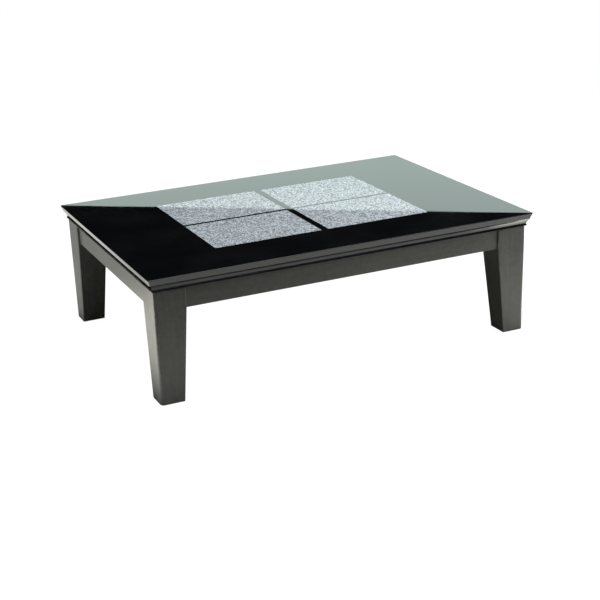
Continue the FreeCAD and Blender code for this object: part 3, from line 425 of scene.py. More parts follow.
# %% Satin black wood
def satin_black(name, stretch):
    """Satin lacquer on wood, with the grain along the axis that has the smallest stretch."""
    wood = Finish(name)
    grain = wood.use(long_grain, Stretch=stretch)
    marks = wood.use(handling, Scale=7.0)
    worn_highlit_edge = wood.use(edge_wear_and_highlight, Amount=0.8)["Rub"]
    spray = wood.use(mottle, Scale=900.0)
    cloud = wood.times(wood.window(spray["Tone"], 0.25, 0.75), 0.5)
    figure = wood.plus(wood.times(grain["Figure"], 0.5), cloud)
    stain = wood.blend(figure, (0.0195, 0.0201, 0.0169), (0.0405, 0.0415, 0.0353))
    filled = wood.blend(wood.times(grain["Pores"], 0.25), stain, (0.010, 0.010, 0.0085))
    dusted = wood.blend(wood.times(marks["Dust"], 0.15), filled, (0.24, 0.23, 0.21))
    # Rounded edges turn lighter and browner: partly rubbed-through stain, partly a painted
    # highlight.
    worn_and_highlit = wood.blend(worn_highlit_edge, dusted, (0.105, 0.100, 0.084))
    sheen = wood.plus(wood.between(figure, 0.35, 0.41), wood.times(marks["Wipes"], 0.05))
    relief = wood.plus(wood.times(grain["Height"], 0.5), wood.times(spray["Height"], 0.5))
    wood.feed(Base_Color=worn_and_highlit, Roughness=sheen, IOR=1.5, Normal=wood.bump(relief, 1e-4))


satin_black("satin_black_along_x", (10.0, 300.0, 300.0))
satin_black("satin_black_along_y", (300.0, 10.0, 300.0))
satin_black("satin_black_along_z", (300.0, 300.0, 10.0))

# %% [markdown]
# ## Finishes of the parts underneath
# Nothing under the table is lacquered for show: paper, rubber, felt, plastic, ceramic, enamel and
# a few small turned or cast metals. They differ in colour and gloss more than in kind, so one
# short function makes them all: a base colour that varies, a roughness that varies and a little
# relief.

# %% Plain finishes
def plain_finish(name, dark, light, rough, scale, depth, **more):
    """A finish whose tone, gloss and relief vary a little over the surface."""
    plain = Finish(name)
    texture = plain.use(mottle, Scale=scale)
    marks = plain.use(handling, Scale=9.0)
    worn_highlit_edge = plain.use(edge_wear_and_highlight, Amount=0.5)["Rub"]
    tone = plain.blend(plain.window(texture["Tone"], 0.3, 0.7), dark, light)
    dusted = plain.blend(plain.times(marks["Dust"], 0.2), tone, (0.45, 0.43, 0.40))
    # Rounded edges turn lighter: partly wear, partly a painted highlight.
    brighter = [min(1.0, 1.5 * part + 0.02) for part in light]
    gloss = plain.between(marks["Wipes"], *rough)
    plain.feed(Base_Color=plain.blend(worn_highlit_edge, dusted, brighter), Roughness=gloss, **more)
    plain.feed(Normal=plain.bump(texture["Height"], depth))


for row in (
    ("backing_paper", (0.20, 0.165, 0.13), (0.27, 0.23, 0.185), (0.62, 0.75), 420.0, 8e-5),
    ("pad_rubber", (0.030, 0.030, 0.032), (0.055, 0.055, 0.057), (0.70, 0.85), 700.0, 1e-4),
    ("white_ceramic", (0.70, 0.67, 0.61), (0.84, 0.82, 0.77), (0.55, 0.70), 500.0, 8e-5),
    ("guard_plastic", (0.026, 0.023, 0.021), (0.042, 0.038, 0.034), (0.45, 0.58), 1100.0, 12e-5),
    ("net_enamel", (0.010, 0.010, 0.011), (0.022, 0.022, 0.023), (0.22, 0.36), 420.0, 6e-5),
    ("socket_plastic", (0.014, 0.014, 0.015), (0.026, 0.026, 0.027), (0.34, 0.46), 1400.0, 5e-5),
    ("terminal_plastic", (0.66, 0.63, 0.56), (0.80, 0.77, 0.70), (0.35, 0.48), 900.0, 4e-5),
):
    plain_finish(*row)
for row in (
    ("insert_brass", (0.62, 0.46, 0.20), (0.78, 0.62, 0.33), (0.25, 0.42), 600.0, 3e-5),
    ("motor_steel", (0.26, 0.27, 0.29), (0.40, 0.41, 0.43), (0.32, 0.48), 450.0, 3e-5),
    ("element_alloy", (0.16, 0.12, 0.10), (0.36, 0.29, 0.23), (0.42, 0.60), 900.0, 3e-5),
):
    plain_finish(*row, Metallic=1.0)
fibres = (0.055, 0.048, 0.042), (0.12, 0.108, 0.094)
plain_finish("felt", *fibres, (0.92, 1.0), 900.0, 4e-4, Sheen_Weight=0.5)

# %% [markdown]
# ## Sheet metals
# Sheet is rolled, and the rolls leave fine lines along it. A zinc coat also freezes into flat
# crystals, which show as patches of lighter and darker grey. Both only tint the metal and change
# its roughness a little. Each metal says along which axis its lines run, how large its crystals
# are and how much of its tone they have.

# %% Sheet metals
def sheet_metal(name, dark, light, rough, lines, cells, cell_share):
    """Rolled metal, with the crystals of a zinc coat if asked."""
    metal = Finish(name)
    sheet = metal.use(rolled_sheet, Lines=lines, Cells=cells)
    marks = metal.use(handling, Scale=8.0)
    crystals = metal.times(sheet["Cells"], cell_share)
    tone = metal.plus(crystals, metal.times(sheet["Lines"], 1.0 - cell_share))
    gloss = metal.between(sheet["Lines"], *rough)
    gloss = metal.plus(gloss, metal.times(marks["Wipes"], 0.08))
    metal.feed(Base_Color=metal.blend(tone, dark, light), Roughness=gloss, Metallic=1.0)
    metal.feed(Normal=metal.bump(sheet["Lines"], 2e-5))


for name, dark, light, rough, lines, cells, share in (
    ("zinc_steel", (0.46, 0.47, 0.49), (0.70, 0.71, 0.73),
     (0.26, 0.40), (900.0, 900.0, 30.0), 400.0, 0.2),
    ("galvanised_sheet", (0.42, 0.43, 0.45), (0.72, 0.73, 0.75),
     (0.28, 0.42), (20.0, 500.0, 500.0), 110.0, 0.75),
    ("bright_sheet", (0.74, 0.74, 0.76), (0.90, 0.90, 0.91),
     (0.10, 0.22), (12.0, 900.0, 900.0), 300.0, 0.05),
    ("fan_aluminium", (0.58, 0.59, 0.61), (0.78, 0.79, 0.80),
     (0.24, 0.36), (600.0, 40.0, 600.0), 300.0, 0.05),
):
    sheet_metal(name, dark, light, rough, lines, cells, share)

# %% [markdown]
# ## Bare wood, quartz and sleeved leads
# The cross rails are planed and left bare, so they show pale bands of growth with darker pores.
# The tube is clear quartz, cloudy only where fingers touched it. The leads wear a braided sleeve:
# two sets of diagonal waves that lean opposite ways cross into the braid.

# %% Bare wood, quartz and sleeved leads
wood = Finish("bare_wood")
grain = wood.use(long_grain, Stretch=(260.0, 7.0, 260.0))
bands = wood.noise(wood.stretched(wood.place, (38.0, 1.6, 38.0)), 1.0, 3.0, 0.5)
timber = wood.blend(bands, (0.46, 0.31, 0.17), (0.70, 0.54, 0.36))
timber = wood.blend(wood.times(grain["Pores"], 0.55), timber, (0.26, 0.16, 0.085))
wood.feed(Base_Color=timber, Roughness=wood.between(grain["Figure"], 0.55, 0.75))
wood.feed(Normal=wood.bump(grain["Height"], 0.00012))

quartz = Finish("quartz")
wipes = quartz.use(handling, Scale=14.0)["Wipes"]
quartz.feed(Base_Color=quartz.blend(wipes, (0.97, 0.97, 0.96), (0.90, 0.89, 0.87)))
quartz.feed(Roughness=quartz.between(wipes, 0.02, 0.12), IOR=1.46, Transmission_Weight=1.0)

sleeve = Finish("lead_sleeve")
strands = []
for place in (sleeve.place, sleeve.stretched(sleeve.place, (-1.0, 1.0, 1.0))):
    given = {"Vector": place, "Scale": 900.0, "Distortion": 3.0, "Detail": 1.0}
    strands.append(sleeve.add("TexWave", given, bands_direction="DIAGONAL").outputs["Fac"])
braid = sleeve.times(*strands)
sleeve.feed(Base_Color=sleeve.blend(braid, (0.52, 0.49, 0.43), (0.80, 0.77, 0.70)))
sleeve.feed(Roughness=0.7, Normal=sleeve.bump(braid, 0.00015))
print("finishes:", list(finishes))

# %% [markdown]
# ## The board of the top
# The board is one slab whose sides slope in towards its underside, with soft corners, a small
# round along its upper rim and a smaller one along its lower rim. We lean the sides of a block by
# scaling its two ends, and then round it in that order. Because a side leans, the round of the
# upper rim eats into the length of the board, so the block starts wider by that much, and a last
# trim makes it exactly as long as it should be.

# %% Board of the top
LEAN, ARRIS, LOWER_ARRIS, CORNER_ROUND = 0.006, 0.0016, 0.0006, 0.0051
low, high = levels("top_board")
thick = high.z - low.z
slope = LEAN / thick
eaten = ARRIS * (math.hypot(1, slope) + slope - 1)
board = block(low, high)
for level, wider in ((high.z, eaten), (low.z, eaten - LEAN)):
    end = [v for v in board.verts if abs(v.co.z - level) < HAIR]
    bmesh.ops.scale(board, vec=(1 + wider / high.x, 1 + wider / high.y, 1), verts=end)
soften(board, [e for e in board.edges if run(e, 2) > thick / 2], CORNER_ROUND, 8)
soften(board, edges_where(board, lambda place: place.z < low.z + HAIR), LOWER_ARRIS, 3)
upper_round = ARRIS / math.tan(math.atan2(thick, LEAN) / 2)
soften(board, edges_where(board, lambda place: place.z > high.z - HAIR), upper_round, 6)
reach = [max(v.co[axis] for v in board.verts) for axis in (0, 1)]
bmesh.ops.scale(board, vec=(high.x / reach[0], high.y / reach[1], 1), verts=board.verts)
print("board reached", [round(r, 5) for r in reach], "before it was trimmed to size")

# %% [markdown]
# ## The beds of the panels
# The panels lie in shallow beds, flush with the lacquer. To find a bed we cut the top face along
# the edges of all four panels, pick the pieces that lie within one of them and sink these to the
# level of the panels' undersides.

# %% Beds of the panels
CORNERS = ("front_left", "front_right", "back_left", "back_right")


def top_faces(shape, level):
    """The flat faces of a shape at a level."""
    flat = [f for f in shape.faces if f.normal.z > 0.999]
    return [f for f in flat if f.calc_center_median().z > level - HAIR]


def slice_faces(shape, faces, place, across):
    """Cuts some of the faces along a plane."""
    around = {thing for face in faces for thing in (*face.edges, *face.verts)}
    bmesh.ops.bisect_plane(shape, geom=[*faces, *around], plane_co=place, plane_no=across)


def slice_top(shape, level, axis, where):
    """Cuts the flat faces at a level across an axis."""
    across = Vector((axis == 0, axis == 1, 0))
    slice_faces(shape, top_faces(shape, level), across * where, across)


def in_panel(place):
    """Whether a place on the top lies within one of the panels."""
    return any(a.x < place.x < b.x and a.y < place.y < b.y for a, b in panels.values())


panels = {corner: levels("inlay_" + corner) for corner in CORNERS}
panel_corners = [corner for pair in panels.values() for corner in pair]
for axis, where in sorted({(axis, round(c[axis], 4)) for c in panel_corners for axis in (0, 1)}):
    slice_top(board, high.z, axis, where)
beds = [face for face in top_faces(board, high.z) if in_panel(face.calc_center_median())]
print("beds:", len(beds))
draw_out(board, beds, Vector((0, 0, panels["front_left"][0].z - high.z)))
finish_part("lacquered_board", board, "mirror_lacquer", "top_board", "tabletop")

# %% [markdown]
# ## The four panels
# A panel is a thin plate. Its upper edges are eased by a hair, so a fine line of light shows
# round it where it meets the black.

# %% Silver panels
for corner, (a, b) in panels.items():
    plate = block(a, b)
    soften(plate, edges_where(plate, lambda place: place.z > b.z - HAIR), 0.00025, 2)
    name, node = "silver_panel_" + corner, "inlay_" + corner
    finish_part(name, plate, "silver_grain", node, "tabletop")

# %% [markdown]
# ## The moulded edge
# Under the board runs a moulding with a hollow, called a cove, and a plain lip below it. A joiner
# runs it off in lengths and mitres the corners. We do the same: spin a point to draw the cove,
# walk round the other corners of the profile, fill it, draw it out to its length and cut both
# ends at 45 degrees. The moulding is drawn as the front edge and turned for the others.

# %% Profile of the moulding
COVE_RADIUS, COVE_HEIGHT = 0.045, 0.0165
COVE_END, LIP, BACK = 0.016, 0.014, 0.072
board_edge = levels("top_board")[1]
COVE_START = board_edge.y + levels("edge_strip_front")[0].y


def moulding_profile(shape, reach, top, bottom):
    """Draws the profile across the front edge, with the outer edge of the top at -reach."""
    lip_top = top - COVE_HEIGHT
    start, end = Vector((0, COVE_START, top)), Vector((0, COVE_END, lip_top))
    chord = end - start
    outward = Vector((0, chord.z, -chord.y)).normalized()
    away = math.sqrt(COVE_RADIUS ** 2 - (chord.length / 2) ** 2)
    middle = (start + end) / 2 + outward * away
    sweep = (start - middle).angle(end - middle)
    first = bmesh.ops.create_vert(shape, co=start)["vert"][0]
    arc = bmesh.ops.spin(
        shape, geom=[first], cent=middle, axis=(-1, 0, 0), angle=sweep, steps=12,
        use_duplicate=False,
    )
    last = only(arc["geom_last"], bmesh.types.BMVert)[0]
    for y, z in ((LIP, lip_top), (LIP, bottom), (BACK, bottom), (BACK, top)):
        last = bmesh.ops.extrude_vert_indiv(shape, verts=[last])["verts"][0]
        bmesh.ops.translate(shape, vec=Vector((0, y, z)) - last.co, verts=[last])
    shape.edges.new((last, first))
    bmesh.ops.contextual_create(shape, geom=shape.edges[:])
    bmesh.ops.translate(shape, vec=(0, -reach, 0), verts=shape.verts)
    print("cove turns through", round(math.degrees(sweep)), "degrees")


# %% Moulded edge
def make_moulding(side, half, reach, turn):
    """One mitred length of moulding, made along the front and turned to its own side."""
    node = "edge_strip_" + side
    low, high = levels(node)
    shape = new_shape()
    moulding_profile(shape, reach, high.z, low.z)
    bmesh.ops.translate(shape, vec=(-half, 0, 0), verts=shape.verts)
    draw_out(shape, shape.faces[:], Vector((2 * half, 0, 0)), closed=False)
    on_lip = edges_where(shape, lambda place: abs(place.y + reach - LIP) < HAIR)
    soften(shape, [e for e in on_lip if run(e, 0) > half], 0.001, 3)
    for sign in (1, -1):
        cut = bmesh.ops.bisect_plane(
            shape, geom=[*shape.verts, *shape.edges, *shape.faces],
            plane_co=(sign * half, -reach, 0), plane_no=(sign, 1, 0), clear_outer=True,
        )
        bmesh.ops.contextual_create(shape, geom=only(cut["geom_cut"], bmesh.types.BMEdge))
    turned = Matrix.Rotation(math.radians(turn), 3, "Z")
    bmesh.ops.rotate(shape, cent=(0, 0, 0), matrix=turned, verts=shape.verts)
    finish_part("moulding_" + side, shape, "moulding_lacquer", node, "tabletop", "mirror_lacquer")


make_moulding("front", board_edge.x, board_edge.y, 0)
make_moulding("back", board_edge.x, board_edge.y, 180)
make_moulding("left", board_edge.y, board_edge.x, -90)
make_moulding("right", board_edge.y, board_edge.x, 90)

# %% [markdown]
# ## The legs
# A leg is square where the rails meet it and tapers below on its two inner sides, so the outer
# faces stay upright. The outer corner is nearly sharp at the top and opens to a soft round at the
# foot. We draw a square up in two steps, slice the inner corner off the block to make a flat seat
# for the steel bracket, round the upright edges, and then swell the round at the foot by scaling
# its few points about the sharp corner, which keeps the arc a true one. A hole in the sole takes
# the brass insert.

# %% Steps of a leg
def cut_seat(shape, corner, knee, reach):
    """Slices the inner corner off the block above the knee and closes the cut with two faces."""
    upper = [f for f in shape.faces if f.calc_center_median().z > knee + 10 * HAIR]
    slice_faces(shape, upper, corner + Vector((reach, 0, 0)), (1, 1, 0))
    waste = []
    for face in shape.faces:
        middle = face.calc_center_median()
        beyond = middle.x + middle.y - corner.x - corner.y - reach
        if middle.z > knee + 10 * HAIR and beyond > 10 * HAIR:
            waste.append(face)
    bmesh.ops.delete(shape, geom=waste, context="FACES")
    open_edges = [e for e in shape.edges if e.is_boundary]
    flat = [e for e in open_edges if all(v.co.z < knee + HAIR for v in e.verts)]
    corners = {v for e in flat for v in e.verts}
    ends = [v for v in corners if len([e for e in flat if v in e.verts]) == 1]
    across = shape.edges.new(ends)
    bmesh.ops.contextual_create(shape, geom=[*flat, across])
    rising = [e for e in open_edges if e not in flat]
    bmesh.ops.contextual_create(shape, geom=[*rising, across])


def open_hole(shape, face, radius, segments, middle):
    """Opens a round mouth in a flat face and gives back its rim."""
    outer = face.edges[:]
    bmesh.ops.delete(shape, geom=[face], context="FACES_ONLY")
    ring = bmesh.ops.create_circle(
        shape, cap_ends=False, radius=radius, segments=segments, matrix=Matrix.Translation(middle)
    )
    rim = list({e for v in ring["verts"] for e in v.link_edges})
    bmesh.ops.bridge_loops(shape, edges=outer + rim)
    return rim


def sink(shape, rim, depth, narrowing=1.0):
    """Draws the rim of a hole to the bottom of the hole and closes it there."""
    made = bmesh.ops.extrude_edge_only(shape, edges=rim)["geom"]
    bottom = only(made, bmesh.types.BMVert)
    bmesh.ops.translate(shape, vec=(0, 0, depth), verts=bottom)
    bmesh.ops.scale(shape, vec=(narrowing, narrowing, 1), verts=bottom)
    end = [e for e in only(made, bmesh.types.BMEdge) if all(v in bottom for v in e.verts)]
    bmesh.ops.contextual_create(shape, geom=end)


# %% Legs
FOOT, LEG_TOP = 0.070, 0.092
SEAT_REACH = 2 * LEG_TOP - 0.022
OUTER_ROUND, INNER_ROUND, SOLE_ROUND = 0.004, 0.003, 0.0006
INSERT_RADIUS, INSERT_DEPTH = 0.00605, 0.022


def make_leg(place):
    """Makes the front left leg and mirrors it to its own corner."""
    low, high = levels("leg_front_left")
    knee = levels("rail_front")[0].z
    middle = Vector((low.x + FOOT / 2, low.y + FOOT / 2, low.z))
    about_corner = Matrix.Translation(-low)
    shape = new_shape()
    bmesh.ops.create_grid(shape, x_segments=1, y_segments=1, size=FOOT / 2)
    bmesh.ops.translate(shape, vec=middle, verts=shape.verts)
    for level in (knee, high.z):
        upper = max(shape.faces, key=lambda f: f.calc_center_median().z)
        wider = LEG_TOP / (max(v.co.x for v in upper.verts) - low.x)
        rise = Vector((0, 0, level - upper.calc_center_median().z))
        drawn = draw_out(shape, [upper], rise, closed=level != knee)
        bmesh.ops.scale(shape, vec=(wider, wider, 1), space=about_corner, verts=drawn)
    cut_seat(shape, low, knee, SEAT_REACH)

    def outside(edge):
        return all((v.co - low).xy.length < HAIR for v in edge.verts)

    def on_seat(edge):
        first = edge.verts[0].co
        return abs(sum((first - low).xy) - SEAT_REACH) < 1e-4 and first.z > knee - HAIR

    upright = [e for e in shape.edges if run(e, 2) > 0.01]
    inner = [e for e in upright if not outside(e) and not on_seat(e)]
    soften(shape, inner, INNER_ROUND, 4)
    soften(shape, [e for e in shape.edges if outside(e)], OUTER_ROUND, 8)
    near = OUTER_ROUND + 10 * HAIR
    arc = [v for v in shape.verts if v.co.z < low.z + HAIR and max((v.co - low).xy) < near]
    bmesh.ops.scale(shape, vec=(3, 3, 1), space=about_corner, verts=arc)
    sole = min(shape.faces, key=lambda f: f.calc_center_median().z)
    soften(shape, sole.edges[:], SOLE_ROUND, 2)
    sole = min(shape.faces, key=lambda f: f.calc_center_median().z)
    sink(shape, open_hole(shape, sole, INSERT_RADIUS, 24, middle), INSERT_DEPTH)
    mirror = (1 if "left" in place else -1, 1 if "front" in place else -1, 1)
    bmesh.ops.scale(shape, vec=mirror, verts=shape.verts)
    name, node = "tapered_leg_" + place, "leg_" + place
    finish_part(name, shape, "satin_black_along_z", node, slot="black_satin_wood")


for corner in CORNERS:
    make_leg(corner)

# %% [markdown]
# ## The rails
# Four rails join the legs. Each is a straight board with its lower edges eased, and its grain
# runs along it.

# %% Rails
for side in ("front", "back", "left", "right"):
    low, high = levels("rail_" + side)
    rail = block(low, high)
    along = 0 if side in ("front", "back") else 1
    lower = [e for e in rail.edges if run(e, along) > 0.1 and e.verts[0].co.z < low.z + HAIR]
    soften(rail, lower, 0.0015, 3)
    finish = "satin_black_along_" + "xy"[along]
    finish_part("apron_" + side, rail, finish, "rail_" + side, slot="black_satin_wood")

# %% [markdown]
# ## Screws
# The frame is held by ordinary hardware. A screw has a domed head with a cross-shaped recess. It
# is drawn once, standing on the origin: a circle grows up into the shank and the dome, ring by
# ring, and a cross is pushed down into the top. The solid model holds all the screws of a kind as
# one part, so we first take that part's mesh to pieces to find where each one sits and which way
# it looks, and then turn a copy onto every place.

# %% Places of the screws
def loose_pieces(node):
    """Corners of every separate piece of a part of the solid model."""
    shape = bmesh.new()
    shape.from_mesh(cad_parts[node].data)
    bmesh.ops.remove_doubles(shape, verts=shape.verts, dist=1e-6)
    waiting, pieces = set(shape.verts), []
    while waiting:
        queue = [waiting.pop()]
        points = []
        while queue:
            vertex = queue.pop()
            points.append(vertex.co.copy())
            near = {e.other_vert(vertex) for e in vertex.link_edges} & waiting
            waiting -= near
            queue += near
        pieces.append(points)
    shape.free()
    return pieces


def screw_places(node):
    """For every screw: the middle of the head's flat side, and the way that the head looks."""
    for points in loose_pieces(node):
        low, high = (Vector([end(p[i] for p in points) for i in range(3)]) for end in (min, max))
        axis = max(range(3), key=lambda i: high[i] - low[i])
        middle = (low + high) / 2
        others = [i for i in range(3) if i != axis]
        rim = max(points, key=lambda p: sum((p[i] - middle[i]) ** 2 for i in others))
        way = Vector([float(i == axis) for i in range(3)])
        if rim[axis] < middle[axis]:
            way.negate()
        middle[axis] = rim[axis]
        yield middle, way


# %% Screws with a cross recess
DOME = ((1.0, 0.30), (0.93, 0.35), (0.78, 0.25), (0.62, 0.10))
CROSS = ((1, 1), (1, 4), (-1, 4), (-1, 1), (-4, 1), (-4, -1),
         (-1, -1), (-1, -4), (1, -4), (1, -1), (4, -1), (4, 1))


def grow(shape, end, rise, widening=1.0, closed=True):
    """Draws an end face upwards, widens it and gives back the new end."""
    ring = draw_out(shape, [end], Vector((0, 0, rise)), closed)
    bmesh.ops.scale(shape, vec=(widening, widening, 1), verts=ring)
    return next(f for f in shape.faces if all(v in ring for v in f.verts))


def append(shape, fresh, place, way):
    """Moves a finished bmesh onto its place, turned so that its Z axis looks along way."""
    turn = Vector((0, 0, 1)).rotation_difference(way).to_matrix().to_4x4()
    bmesh.ops.transform(fresh, matrix=Matrix.Translation(place) @ turn, verts=fresh.verts)
    bmesh.ops.recalc_face_normals(fresh, faces=fresh.faces)
    mesh = bpy.data.meshes.new("passing")
    fresh.to_mesh(mesh)
    fresh.free()
    shape.from_mesh(mesh)
    bpy.data.meshes.remove(mesh)


def add_screw(shape, place, way, radius, length, head_radius, head_height):
    """One screw: a shank, a dome in four rings, and a cross pushed down into it."""
    fresh = new_shape()
    bmesh.ops.create_circle(fresh, cap_ends=True, radius=radius, segments=16)
    bmesh.ops.translate(fresh, vec=(0, 0, -length), verts=fresh.verts)
    top = grow(fresh, fresh.faces[:][0], length, closed=False)
    for widening, rise in ((head_radius / radius, 0.0), *DOME):
        top = grow(fresh, top, rise * head_height, widening)
    rim = top.edges[:]
    bmesh.ops.delete(fresh, geom=[top], context="FACES_ONLY")
    half = {1: 0.09 * head_radius, 4: 0.34 * head_radius}
    corners = []
    for x, y in CROSS:
        x, y = (math.copysign(half[abs(part)], part) for part in (x, y))
        corners.append(bmesh.ops.create_vert(fresh, co=(x, y, head_height))["vert"][0])
    sides = [fresh.edges.new(ends) for ends in zip(corners, corners[1:] + corners[:1])]
    bmesh.ops.bridge_loops(fresh, edges=rim + sides)
    sink(fresh, sides, -0.6 * head_height, 0.7)
    append(shape, fresh, place, way)


for kind, size in {
    "bracket": (0.002, 0.016, 0.004, 0.0026),
    "heater": (0.002, 0.016, 0.004, 0.0026),
    "guard": (0.0015, 0.007, 0.003, 0.002),
}.items():
    screws = new_shape()
    for place, way in screw_places(kind + "_screws"):
        add_screw(screws, place, way, *size)
    finish_part(kind + "_cross_screws", screws, "zinc_steel", kind + "_screws")

# %% [markdown]
# ## Bolts and nuts
# Each leg is drawn against its bracket by a bolt along the diagonal. The bolt is screwed into the
# leg and has its thread cut in rings, which look the same as a helix at this size. The nut is a
# hexagon with its corners eased and a round bore.

# %% Bolts and nuts of the corners
BOLT_RADIUS, EMBEDDED, THREADED, PITCH, ROOT = 0.004, 0.042, 0.024, 0.00125, 0.86
NUT_FLATS, NUT_HEIGHT, NUT_BORE, NUT_EASE = 0.013, 0.0065, 0.00405, 0.0006
BRACKET_AND_WASHER = 0.0025 + 0.0016


def add_bolt(shape, start, way):
    """A rod with a plain part and a threaded part drawn as close rings."""
    fresh = new_shape()
    bmesh.ops.create_circle(fresh, cap_ends=True, radius=BOLT_RADIUS, segments=20)
    turns = round(THREADED / PITCH - 1)
    steps = [(1.0, EMBEDDED)] + [(ROOT, PITCH / 2), (1 / ROOT, PITCH / 2)] * turns
    steps += [(ROOT, PITCH / 2), (0.9, THREADED - PITCH * turns - PITCH / 2)]
    top = fresh.faces[:][0]
    for number, (widening, rise) in enumerate(steps):
        top = grow(fresh, top, rise, widening, closed=number > 0)
    append(shape, fresh, start, way)


def face_at(shape, level):
    """The face that lies at a level."""
    return next(f for f in shape.faces if all(abs(v.co.z - level) < 1e-6 for v in f.verts))


def add_nut(shape, middle, way):
    """A hexagon with eased corners and a round bore."""
    fresh = new_shape()
    bmesh.ops.create_circle(fresh, cap_ends=True, radius=NUT_FLATS / math.sqrt(3), segments=6)
    draw_out(fresh, fresh.faces[:], Vector((0, 0, NUT_HEIGHT)), closed=False)
    for level, ease in ((0.0, NUT_EASE), (NUT_HEIGHT, -NUT_EASE)):
        face = face_at(fresh, level)
        rim = bmesh.ops.inset_region(
            fresh, faces=[face], thickness=NUT_FLATS * 0.10, use_even_offset=True
        )
        outer = {v for f in rim["faces"] for v in f.verts} - set(face.verts)
        bmesh.ops.translate(fresh, vec=(0, 0, ease), verts=list(outer))
    rims = []
    for level in (0.0, NUT_HEIGHT):
        rims += open_hole(fresh, face_at(fresh, level), NUT_BORE, 18, (0, 0, level))
    bmesh.ops.bridge_loops(fresh, edges=rims)
    append(shape, fresh, middle, way)


bolt_low, bolt_high = levels("hanger_bolts")
leg_corner = levels("leg_front_left")[0]
bolts, nuts = new_shape(), new_shape()
for x in (-1, 1):
    for y in (-1, 1):
        inward = Vector((-x, -y, 0)).normalized()
        seat = Vector((-leg_corner.x - SEAT_REACH / 2, -leg_corner.y - SEAT_REACH / 2, 0))
        seat = Vector((x * seat.x, y * seat.y, (bolt_low.z + bolt_high.z) / 2))
        add_bolt(bolts, seat - inward * EMBEDDED, inward)
        add_nut(nuts, seat + inward * BRACKET_AND_WASHER, inward)
finish_part("threaded_bolts", bolts, "zinc_steel", "hanger_bolts")
finish_part("hexagon_nuts", nuts, "zinc_steel", "leg_nuts")

# %% [markdown]
# ## The glowing wire
# The heater's wire is wound into a fine coil and pulled through the bent quartz tube. We walk
# along the middle of the tube, let a point circle round it, and lay a thin ring of corners at
# every step.

# %% Coiled heating wire
STEPS_EACH_TURN, COIL_RADIUS, COIL_PITCH, WIRE_RADIUS, WIRE_SIDES = 10, 0.0021, 0.0023, 0.0004, 5
ARM = 0.120


def coil_path():
    """Points of a coil along the tube's bend, each with the way out from the tube's middle."""
    low, high = levels("heating_element")
    level = (low.z + high.z) / 2
    bend = (high.y - low.y) / 2 - COIL_RADIUS - WIRE_RADIUS
    length = 2 * ARM + math.pi * bend
    count = round(length / COIL_PITCH * STEPS_EACH_TURN)
    for number in range(count + 1):
        along = length * number / count
        if along < ARM:
            place, side = Vector((high.x - along, -bend, level)), Vector((0, -1, 0))
        elif along > length - ARM:
            place, side = Vector((high.x - length + along, bend, level)), Vector((0, 1, 0))
        else:
            turn = (along - ARM) / bend
            side = Vector((-math.sin(turn), -math.cos(turn), 0))
            place = Vector((high.x - ARM, 0, level)) + side * bend
        angle = 2 * math.pi * number / STEPS_EACH_TURN
        out = side * math.cos(angle) + Vector((0, 0, math.sin(angle)))
        yield place + out * COIL_RADIUS, out


def lay_wire(shape, points):
    """Joins rings of corners round a row of points."""
    rings = []
    for number, (place, out) in enumerate(points):
        before, after = points[max(number - 1, 0)][0], points[min(number + 1, len(points) - 1)][0]
        across = (after - before).cross(out).normalized()
        angles = [2 * math.pi * k / WIRE_SIDES for k in range(WIRE_SIDES)]
        ways = [out * math.cos(angle) + across * math.sin(angle) for angle in angles]
        rings.append([shape.verts.new(place + way * WIRE_RADIUS) for way in ways])
    for first, second in zip(rings, rings[1:]):
        for k in range(WIRE_SIDES):
            shape.faces.new((first[k - 1], first[k], second[k], second[k - 1]))
    shape.faces.new(rings[0])
    shape.faces.new(rings[-1])


coil = new_shape()
lay_wire(coil, list(coil_path()))
finish_part("coiled_wire", coil, "element_alloy", "heating_element")

# %% [markdown]
# ## The net of the guard
# The net is punched from one sheet: sixteen rows of sixteen square holes with soft corners. We
# draw a grid, inset each of its squares, take them out, widen the rim, give the sheet its
# thickness and round the corners of the holes. Enamel runs into every corner, so they are soft.

# %% Punched net
BAR, ROWS, BORDER, HOLE_ROUND = 0.0024, 16, 0.010, 0.0024
low, high = levels("guard_net")
half = (high.x - low.x) / 2
pitch = (2 * half - 2 * BORDER + BAR) / ROWS
net = new_shape()
bmesh.ops.create_grid(
    net, x_segments=ROWS, y_segments=ROWS, size=pitch * ROWS / 2,
    matrix=Matrix.Translation((0, 0, low.z)),
)
squares = net.faces[:]
bmesh.ops.inset_individual(net, faces=squares, thickness=BAR / 2)
bmesh.ops.delete(net, geom=squares, context="FACES_ONLY")
print("holes in the net:", len(squares))
far = max(v.co.x for v in net.verts)
rim = [e for axis in (0, 1) for e in edges_where(net, lambda p: abs(abs(p[axis]) - far) < 1e-6)]
grown = only(bmesh.ops.extrude_edge_only(net, edges=rim)["geom"], bmesh.types.BMVert)
bmesh.ops.scale(net, vec=(half / far, half / far, 1), verts=grown)
draw_out(net, net.faces[:], Vector((0, 0, high.z - low.z)), closed=False)
standing = [e for e in net.edges if run(e, 2) > 0.001]
bmesh.ops.bevel(
    net, geom=standing, affect="EDGES", offset=HOLE_ROUND, segments=3, profile=0.5, material=-1
)
finish_part("punched_net", net, "net_enamel", "guard_net")

# %% [markdown]
# ## Parts that keep their solid shape
# The other parts already have their true shape. They come in as loose triangles, so a copy is
# merged, its sharp edges are eased by a few tenths of a millimetre so that they catch the light
# as folded sheet and moulded plastic do, and the copy stands for the part. The roof of the
# heater's case also gets a ridge, pressed up all round to stiffen the thin sheet. Only the
# backing sheet of the board stays as it is and takes its finish.

# %% Copies of solid parts
FOLD = math.radians(50)
RIDGE_X, RIDGE_Y, RIDGE_WIDTH, RIDGE_RISE = 0.118, 0.098, 0.013, 0.0014


